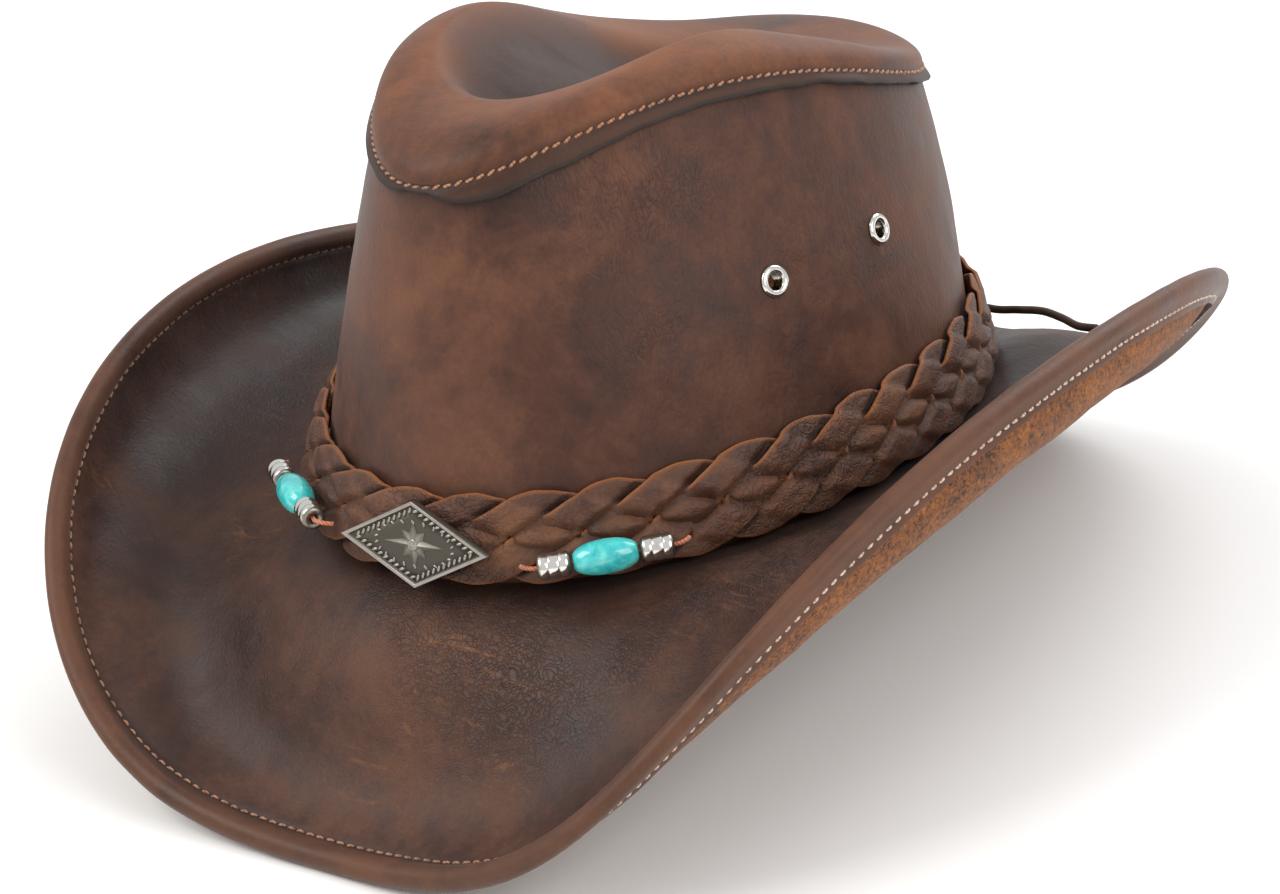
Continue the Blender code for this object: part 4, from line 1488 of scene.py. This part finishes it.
@dataclass
class Braid:
    """The band: four flat straps braided flat round the crown."""

    finishes: Finishes
    strands: int = 4
    turns: int = 8
    height: float = 23.8
    centre_height: float = 13.9
    lean: float = 0.16
    width: float = 8.8
    leather: float = 1.5
    lift: float = 1.45
    cup: float = 0.45
    stations: int = 560
    over_under: tuple[int, ...] = (0, -1, 1, -1, 0, 1, -1, 1)

    def __post_init__(self) -> None:
        """Measures the band's length round the crown, so that its lobes are even."""
        self.angles = np.linspace(0.0, 2.0 * math.pi, 1441)
        points = np.array([self.centre(float(a)) for a in self.angles])
        steps = np.linalg.norm(np.diff(points, axis=0), axis=1)
        self.lengths = np.concatenate([[0.0], np.cumsum(steps)])
        self.length = float(self.lengths[-1])

    def normal(self, angle: float) -> Vector:
        """The outward direction square to the band."""
        level = FORM.head_normal(angle)
        return (level * math.cos(self.lean) + UP * math.sin(self.lean)).normalized()

    def centre(self, angle: float, side: float = 0.0, out: float = 0.0) -> Vector:
        """A point on the band's middle surface, up it by side and away from the crown by out."""
        height = self.centre_height + FORM.head_line(angle).z + side * math.cos(self.lean)
        share = FORM.wall_share(angle, height)
        spread = (self.height / 2 - side) * math.sin(self.lean)
        clear = FORM.wall / 2 + GAP + 2.2
        return FORM.wall_point(angle, share, clear + spread) + self.normal(angle) * out

    def line(self, index: int, along: np.ndarray) -> np.ndarray:
        """How far up the band a strand's middle is, at lengths round the band."""
        phase = 2 * np.pi * (along / self.length * self.turns + index / self.strands)
        swing = (self.height - self.width) / 2
        return swing * (np.cos(phase) + 0.04 * np.cos(3 * phase)) / 1.04

    def grid(self, index: int, sides: np.ndarray) -> tuple[np.ndarray, np.ndarray]:
        """Length round the band and height up it, for the points of one strand."""
        along = np.arange(self.stations) / self.stations * self.length
        step = 0.05
        slope = (self.line(index, along + step) - self.line(index, along - step)) / (2 * step)
        slant = np.arctan(slope)
        x = along[:, None] - np.sin(slant)[:, None] * sides[None, :]
        y = self.line(index, along)[:, None] + np.cos(slant)[:, None] * sides[None, :]
        return x, y

    def layer(self, index: int, x: np.ndarray, y: np.ndarray) -> np.ndarray:
        """How far over (+) or under (-) the others a strand lies, from -1 to 1."""
        total = np.zeros_like(x)
        phase = x / self.length * self.turns + index / self.strands
        for other in range(self.strands):
            if other == index:
                continue
            apart = (other - index) / self.strands
            nearest = np.rint((2 * phase + apart))
            crossing = np.rint((nearest - apart) * self.strands).astype(int) % (2 * self.strands)
            sign = np.array(self.over_under)[crossing]
            step = 0.05
            middle = self.line(other, x)
            slope = (self.line(other, x + step) - self.line(other, x - step)) / (2 * step)
            away = np.abs(y - middle) * np.cos(np.arctan(slope)) / (self.width / 2)
            share = np.clip((1.48 - away) / 0.50, 0.0, 1.0)
            total += sign * share * share * (3 - 2 * share)
        return np.clip(total, -1.0, 1.0)

    def strand(self, index: int) -> None:
        """Builds one strand as a closed strip with rounded, raw edges."""
        half, thick = self.width / 2, self.leather / 2
        outer = [(v, 1.0) for v in np.linspace(-0.93, 0.93, 15)]
        inner = [(v, -1.0) for v in np.linspace(0.9, -0.9, 7)]
        section = [
            *outer,
            (0.985, 0.55),
            (1.0, 0.0),
            (0.98, -0.6),
            *inner,
            (-0.98, -0.6),
            (-1.0, 0.0),
            (-0.985, 0.55),
        ]
        sides = np.array([v for v, _ in section]) * half
        faces = np.array([f for _, f in section])
        x, y = self.grid(index, sides)
        wander = np.sin(x * 0.31 + index * 2.1) * 0.25 + np.sin(x * 0.83 + index) * 0.12
        y = y + wander * 0.5
        height = self.lift * self.layer(index, x, y)
        share = np.abs(sides / half)[None, :]
        height = height - self.cup * share**2.5
        height = height + faces[None, :] * thick * (1.0 - 0.25 * share**3)
        points = {}
        for i in range(self.stations):
            for j in range(len(section)):
                angle = float(np.interp(x[i, j] % self.length, self.lengths, self.angles))
                spot = self.centre(angle, float(y[i, j]), float(height[i, j]))
                crease = 0.22 * rumple(Vector((x[i, j] * 0.5, y[i, j] * 1.7, index * 9.0)), 1.7)
                points[i, j] = spot + self.normal(angle) * crease * max(faces[j], 0.0)
        edge = [
            min(max((abs(v) - 0.90) / 0.07, 0.0), 1.0) if f > -0.5 else 1.0
            for v, f in section
        ]
        deep = np.clip(0.35 - self.layer(index, x, y), 0.0, 1.0)
        marks = {
            "edge": lambda t, r, p: 0.85 * edge[int(r) % len(section)],
            "shade": lambda t, r, p: float(
                0.95 * deep[int(t) % self.stations, int(r) % len(section)]
            ),
            "crackle": lambda t, r, p: 0.8,
            "wear_and_highlight": lambda t, r, p: 0.25 * hump(abs(section[int(r) % len(section)][0]), 0.8, 0.2),
        }
        turns = list(range(self.stations + 1))
        rows = list(range(len(section) + 1))
        strip = laid_sheet(
            f"band_strand_{index + 1}", turns, rows,
            lambda t, r: points[int(t) % self.stations, int(r) % len(section)], marks,
        )
        edit(strip, face_out)
        dress(strip, self.finishes.strand)
        settle(strip, "hatband", "braid_leather", f"hatband_strand_{index + 1}")

    def build(self) -> None:
        """Builds the four strands."""
        for index in range(self.strands):
            self.strand(index)


# ---- the plate ----


@dataclass
class Plate:
    """A diamond plate of darkened silver with a rope border and an eight-point star."""

    finishes: Finishes
    braid: Braid
    angle: float = 3.5
    drop: float = 1.0
    half_width: float = 23.8
    half_height: float = 12.0
    thickness: float = 1.6
    out: float = 3.6

    def place(self) -> Matrix:
        """Where the plate lies on the band."""
        angle = math.radians(self.angle)
        centre = self.braid.centre(angle, -self.drop, self.out)
        return facing(centre, self.braid.normal(angle))

    def lozenge(self, name: str, share: float, low: float, high: float) -> bpy.types.Object:
        """A flat diamond at the origin, this share of the plate's size."""
        bpy.ops.mesh.primitive_cylinder_add(
            vertices=4, radius=MM, depth=(high - low) * MM, location=(0, 0, (high + low) / 2 * MM)
        )
        piece = new_piece(name)
        shift = (high + low) / 2 * MM
        for vert in piece.data.vertices:
            vert.co.x *= self.half_width * share
            vert.co.y *= self.half_height * share
            vert.co.z += shift
        piece.location = (0.0, 0.0, 0.0)
        return piece

    def mark_hollows(self, piece: bpy.types.Object, low: float, high: float) -> None:
        """Marks how deep each point lies, for the tarnish, between two heights."""
        heights = [vert.co.z / MM for vert in piece.data.vertices]
        layer = piece.data.attributes.new("hollow", "FLOAT", "POINT")
        values = [1.0 - smooth(z, low, high) for z in heights]
        layer.data.foreach_set("value", np.array(values, np.float32))

    def move(self, piece: bpy.types.Object) -> bpy.types.Object:
        """Puts a piece modelled at the origin on the hat."""
        piece.data.transform(self.place())
        piece.data.update()
        return piece

    def base(self) -> None:
        """Builds the plate with its raised edge and sunk field."""
        piece = self.lozenge("plate_base", 1.0, 0.0, self.thickness + 0.8)
        mesh = piece.data
        bpy.ops.object.mode_set(mode="EDIT")
        bpy.ops.mesh.select_mode(type="FACE")
        bpy.ops.mesh.select_all(action="DESELECT")
        bpy.ops.object.mode_set(mode="OBJECT")
        for face in mesh.polygons:
            face.select = face.normal.z > 0.9
        bpy.ops.object.mode_set(mode="EDIT")
        bpy.ops.mesh.inset(thickness=0.9 * MM, depth=0.0)
        bpy.ops.mesh.inset(thickness=0.35 * MM, depth=-0.75 * MM)
        bpy.ops.mesh.inset(thickness=0.2 * MM, depth=0.0)
        bpy.ops.mesh.subdivide(number_cuts=5)
        bpy.ops.object.mode_set(mode="OBJECT")
        rim = piece.modifiers.new("worn_edge", "BEVEL")
        rim.width = 0.22 * MM
        rim.segments = 3
        rim.limit_method = "ANGLE"
        rim.angle_limit = math.radians(25)
        apply_all(piece)
        self.mark_hollows(piece, self.thickness + 0.1, self.thickness + 0.65)
        mesh.shade_smooth()
        bpy.ops.object.shade_smooth_by_angle(angle=math.radians(32))
        dress(self.move(piece), self.finishes.pewter)
        settle(piece, "hatband", "aged_silver", "concho")

    def rope(self) -> None:
        """Builds the rope border from slanted lobes."""
        bpy.ops.mesh.primitive_uv_sphere_add(segments=10, ring_count=6, radius=MM)
        lobe = new_piece("one_rope_lobe")
        for vert in lobe.data.vertices:
            x, y, z = vert.co
            vert.co = (x * 1.05 + y * 0.35, y * 0.55, z * 0.45)
        places = []
        share, count = 0.80, 11
        corners = [
            Vector((self.half_width * share * x, self.half_height * share * y, 0.0))
            for x, y in ((1, 0), (0, 1), (-1, 0), (0, -1))
        ]
        for a, b in zip(corners, corners[1:] + corners[:1]):
            heading = math.atan2(b.y - a.y, b.x - a.x)
            for i in range(count):
                spot = a.lerp(b, (i + 0.5) / count)
                place = Matrix.Rotation(heading + 0.6, 4, "Z")
                place.translation = Vector((spot.x, spot.y, self.thickness + 0.05)) * MM
                places.append(place)
        piece = run_along("plate_rope_border", lobe, places)
        self.mark_hollows(piece, self.thickness + 0.02, self.thickness + 0.34)
        dress(self.move(piece), self.finishes.pewter)
        settle(piece, "hatband", "aged_silver")

    def star(self) -> None:
        """Builds the star: eight raised points round a boss."""
        bpy.ops.mesh.primitive_circle_add(vertices=16, radius=MM, fill_type="TRIFAN")
        piece = new_piece("plate_star")
        for vert in piece.data.vertices:
            radius = vert.co.length / MM
            if radius < 0.5:
                vert.co = Vector((0.0, 0.0, self.thickness + 1.0)) * MM
                continue
            turn = math.atan2(vert.co.y, vert.co.x)
            point = round(turn / (math.pi / 8)) % 2 == 0
            major = round(turn / (math.pi / 4)) % 2 == 0
            reach = (
                9.8 if abs(math.cos(turn)) > 0.9 else 6.2 if abs(math.sin(turn)) > 0.9 else 5.6
            ) if point else 3.3
            if point and not major:
                reach = 5.2
            vert.co = Vector(
                (math.cos(turn) * reach, math.sin(turn) * reach, self.thickness + 0.15)
            ) * MM
        edit(
            piece,
            lambda: bpy.ops.mesh.extrude_region_move(
                TRANSFORM_OT_translate={"value": (0.0, 0.0, -0.4 * MM)}
            ),
            lambda: bpy.ops.mesh.select_all(action="SELECT"),
            face_out,
        )
        self.mark_hollows(piece, self.thickness + 0.0, self.thickness + 0.5)
        dress(self.move(piece), self.finishes.pewter)
        settle(piece, "hatband", "aged_silver")
        top = self.thickness
        boss = [
            (0.001, top),
            (1.7, top),
            (1.7, top + 0.7),
            (1.5, top + 0.95),
            (1.15, top + 1.0),
            (0.95, top + 0.8),
            (0.6, top + 1.05),
            (0.001, top + 1.15),
        ]
        knob = spun("plate_boss", boss, Matrix.Identity(4), 28)
        self.mark_hollows(knob, top + 0.5, top + 1.0)
        dress(self.move(knob), self.finishes.pewter)
        settle(knob, "hatband", "aged_silver")

    def field(self) -> None:
        """Builds the ring of raised strokes round the star."""
        bpy.ops.mesh.primitive_uv_sphere_add(segments=8, ring_count=5, radius=MM)
        dot = new_piece("one_raised_dot")
        places = []
        for i in range(22):
            turn = 2 * math.pi * (i + 0.5) / 22
            spot = Vector(
                (math.cos(turn) * 12.4, math.sin(turn) * 6.1, self.thickness + 0.05)
            ) * MM
            flat = Matrix.Diagonal((0.9, 0.42, 0.35, 1.0))
            place = Matrix.Translation(spot) @ Matrix.Rotation(turn + 0.5, 4, "Z") @ flat
            places.append(place)
        piece = run_along("plate_leaf_ring", dot, places)
        self.mark_hollows(piece, self.thickness + 0.0, self.thickness + 0.3)
        dress(self.move(piece), self.finishes.pewter)
        settle(piece, "hatband", "aged_silver")

    def build(self) -> None:
        """Builds the plate."""
        self.base()
        self.rope()
        self.star()
        self.field()


# ---- the beads ----


@dataclass
class BeadSet:
    """A turquoise bead between two ribbed silver beads, on a cord tucked into the braid."""

    finishes: Finishes
    braid: Braid
    side: Side
    drop: float
    spread: float = 31.0
    middle: float = 3.5
    stone_radius: float = 4.7
    stone_half: float = 9.0
    bead_radius: float = 3.5
    bead_half: float = 4.4
    out: float = 7.6

    def axes(self) -> tuple[Vector, Vector, Vector]:
        """The centre of the set, its direction and the band's outward direction."""
        angle = math.radians(self.middle + self.side.value * self.spread)
        normal = self.braid.normal(angle)
        step = math.radians(1.0)
        ahead = self.braid.centre(angle + step) - self.braid.centre(angle - step)
        along = (ahead - normal * ahead.dot(normal)).normalized() * self.side.value
        return self.braid.centre(angle, -self.drop, self.out), along, normal

    def build(self) -> None:
        """Builds the beads and their cord."""
        name = self.side.name.lower()
        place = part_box(f"stone_bead_{name}")
        low, high = (Vector(corner) for corner in place)
        middle = (low + high) / 2 / MM - Vector((0.0, 0.0, FOOT))
        _, along, normal = self.axes()
        half, radius = self.stone_half, self.stone_radius
        curve = [
            (
                math.sin(t) ** 0.72 * radius,
                -math.cos(t) * half,
            ) for t in np.linspace(0.30, math.pi - 0.30, 25)
        ]
        stone = spun(
            f"turquoise_bead_{name}",
            [(1.0, curve[0][1]), *curve, (1.0, curve[-1][1])],
            facing(middle, along),
            48,
        )
        dress(stone, self.finishes.stone)
        settle(stone, f"stone_bead_{name}_body", "turquoise", f"stone_bead_{name}")
        for where, way in (("front", -1.0), ("rear", 1.0)):
            self.ribbed(
                f"{name}_{where}",
                middle + along * way * (half + GAP + self.bead_half),
                along,
            )
        self.cord(name, middle, along, normal)

    def ribbed(self, name: str, centre: Vector, along: Vector) -> None:
        """Builds one silver bead with rolled ribs."""
        half, radius = self.bead_half, self.bead_radius
        outer = []
        for t in np.linspace(-1.0, 1.0, 45):
            rib = abs(math.cos(t * math.pi * 1.5)) ** 0.4
            size = radius * (0.91 + 0.09 * rib) * (1.0 - 0.24 * abs(t) ** 9)
            outer.append((size, t * half))
        bead = spun(
            f"silver_bead_{name}",
            [(1.2, -half * 0.93), *outer, (1.2, half * 0.93)],
            facing(centre, along),
            36,
        )
        layer = bead.data.attributes.new("hollow", "FLOAT", "POINT")
        spot = in_place(centre)
        values = []
        for vert in bead.data.vertices:
            away = vert.co - spot
            reach = (away - along * away.dot(along)).length / MM
            values.append(0.8 * (1.0 - smooth(reach, radius * 0.915, radius * 0.965)))
        layer.data.foreach_set("value", np.array(values, np.float32))
        dress(bead, self.finishes.silver)
        settle(bead, f"metal_bead_{name}_body", "bead_silver", f"metal_bead_{name}")

    def cord(self, name: str, middle: Vector, along: Vector, normal: Vector) -> None:
        """Builds the copper cord, whose ends dive between the strands."""
        reach = self.stone_half + GAP + 2 * self.bead_half
        ends = []
        for way in (-1.0, 1.0):
            end = middle + along * ((reach + 4.2) * way) - normal * (self.out - 3.3)
            bend = middle + along * ((reach + 3.2) * way) - normal * 1.0
            start = middle + along * ((reach + 0.6) * way)
            ends.append([bezier((start, bend, end), i / 8) for i in range(9)])
        route = ends[0][::-1] + ends[1]
        cord = round_cord(f"copper_cord_{name}", route, 0.6, 10)
        dress(cord, self.finishes.copper)
        settle(cord, "hatband", "copper_thread", f"bead_thread_{name}")


# ---- the lace ----


@dataclass
class Lace:
    """The lace that ties the band at the back: a wrapped knot and one loose end."""

    finishes: Finishes
    radius: float = 1.25
    knot_half: float = 5.0

    def route(self) -> list[Vector]:
        """The route of the loose end, the same as the frame's."""
        low, high = (Vector(corner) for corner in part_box("lace_knot"))
        centre = (low + high) / 2 / MM - Vector((0.0, 0.0, FOOT))
        along = Vector(KNOT_AXIS).normalized()
        lift = FORM.brim / 2 + GAP + self.radius + 0.3
        tail = [
            centre - along * (self.knot_half + 2 * GAP),
            centre - along * (self.knot_half + 8.0),
        ]
        stops = (
            (166.0, 0.26, 7.5),
            (160.0, 0.29, 6.0),
            (154.5, 0.33, 7.5),
            (149.0, 0.37, 8.0),
            (144.0, 0.42, 6.0),
            (140.0, 0.47, lift + 0.9),
            (136.5, 0.53, lift + 0.4),
        )
        tail += [FORM.brim_point(math.radians(a), share, above) for a, share, above in stops]
        return flowing(tail, 6)

    def build(self) -> None:
        """Builds the loose end and the knot."""
        route = self.route()
        places = [in_place(p) for p in route]
        length = sum((b - a).length for a, b in zip(places, places[1:]))
        piece = round_cord("loose_lace", route, self.radius, 14)
        dress(piece, self.finishes.lace)
        settle(piece, "hatband", "lace_leather", "tie_lace")
        tuple(places[0])
        [tuple(p) for p in places]
        self.knot()

    def knot(self) -> None:
        """Builds the knot: three turns of lace round a core."""
        low, high = (Vector(corner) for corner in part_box("lace_knot"))
        centre = (low + high) / 2 / MM - Vector((0.0, 0.0, FOOT))
        along = Vector(KNOT_AXIS).normalized()
        side = along.cross(UP).normalized()
        up = side.cross(along)
        route = []
        for i in range(121):
            share = i / 120
            turn = share * 3.2 * 2 * math.pi
            reach = 2.45 * min(share / 0.06, 1.0, (1.0 - share) / 0.06) + 0.2
            spot = centre + along * ((share - 0.5) * 7.2 + 0.5 * math.sin(turn * 0.5))
            route.append(spot + (side * math.cos(turn) + up * math.sin(turn)) * reach)
        coil = round_cord("lace_knot_turns", route, 1.3, 12)
        dress(coil, self.finishes.lace)
        settle(coil, "hatband", "lace_leather", "lace_knot")
        core = round_cord(
            "lace_knot_core",
            [centre + along * x for x in (-4.9, -4.0, -2.0, 0.0, 2.0, 4.0, 4.9)],
            1.7,
            12,
            lambda s: 0.75 + math.sin(math.pi * s) * 0.25,
        )
        dress(core, self.finishes.lace)
        settle(core, "hatband", "lace_leather")


# ---- the studio ----


@dataclass
class Studio:
    """A pale floor, soft light and the camera."""

    azimuth: float = 39.0918
    elevation: float = 23.3298
    roll: float = -7.0348
    spot: tuple[float, float, float] = (0.6219, -0.7734, 0.48315)
    lens: float = 105.25

    def camera(self) -> None:
        """Sets up the camera."""
        az, el, ro = (math.radians(v) for v in (self.azimuth, self.elevation, self.roll))
        back = Vector((math.sin(az) * math.cos(el), -math.cos(az) * math.cos(el), math.sin(el)))
        right = Vector((math.cos(az), math.sin(az), 0.0))
        up = back.cross(right)
        x = right * math.cos(ro) + up * math.sin(ro)
        y = up * math.cos(ro) - right * math.sin(ro)
        data = bpy.data.cameras.new("studio_camera")
        data.lens = self.lens
        data.sensor_width = 36.0
        data.clip_start = 0.05
        data.clip_end = 20.0
        camera = bpy.data.objects.new("studio_camera", data)
        turn = Matrix((x, y, back)).transposed().to_4x4()
        turn.translation = Vector(self.spot)
        camera.matrix_world = turn
        bpy.context.scene.collection.objects.link(camera)
        bpy.context.scene.camera = camera

    def light(
        self,
        name: str,
        spot: tuple[float, float, float],
        size: float,
        power: float,
        tint: str,
    ) -> None:
        """Adds one soft light that faces the hat.

        Args:
            name: The light's name.
            spot: Its place, in metres.
            size: The side of its panel, in metres.
            power: In watts.
            tint: Its colour.
        """
        data = bpy.data.lights.new(name, "AREA")
        data.energy = power
        data.size = size
        data.color = colour(tint)[:3]
        lamp = bpy.data.objects.new(name, data)
        aim = Vector((0.0, 0.0, 0.09)) - Vector(spot)
        lamp.matrix_world = Matrix.Translation(spot) @ aim.to_track_quat(
            "-Z",
            "Y",
        ).to_matrix().to_4x4()
        bpy.context.scene.collection.objects.link(lamp)

    def floor(self) -> None:
        """Lays the floor."""
        bpy.ops.mesh.primitive_plane_add(size=12.0)
        piece = new_piece("studio_floor")
        made, _, shader = start_material("pale_paper")
        shader.inputs["Base Color"].default_value = colour("#F4F3F1")
        shader.inputs["Roughness"].default_value = 0.9
        dress(piece, made)

    def build(self) -> None:
        """Builds the floor and the lights."""
        self.floor()
        self.light("key_panel", (-0.9, -1.3, 1.7), 1.3, 30.0, "#FFFDF9")
        self.light("side_panel", (1.7, -0.3, 1.1), 1.2, 18.0, "#FFFFFF")
        self.light("back_panel", (0.2, 1.6, 1.5), 1.4, 20.0, "#FAFCFF")
        world = bpy.context.scene.world or bpy.data.worlds.new("studio_air")
        bpy.context.scene.world = world
        world.use_nodes = True
        back = world.node_tree.nodes["Background"]
        back.inputs[0].default_value = colour("#F8F9FB")
        back.inputs[1].default_value = 0.85
        bpy.context.scene.view_settings.view_transform = "Standard"


def main() -> None:
    """Builds the hat and its studio."""
    logging.basicConfig(level=logging.INFO, format="%(message)s")
    bpy.ops.object.select_all(action="DESELECT")
    studio = Studio()
    studio.camera()
    finishes = Finishes()
    Lace(finishes).build()
    Brim(finishes).build()
    Crown(finishes).build()
    Eyelets(finishes).build()
    braid = Braid(finishes)
    braid.build()
    Plate(finishes, braid).build()
    for side, drop in ((Side.LEFT, 4.5), (Side.RIGHT, 1.0)):
        BeadSet(finishes, braid, side, drop).build()
    studio.build()


if __name__ == "__main__":
    main()
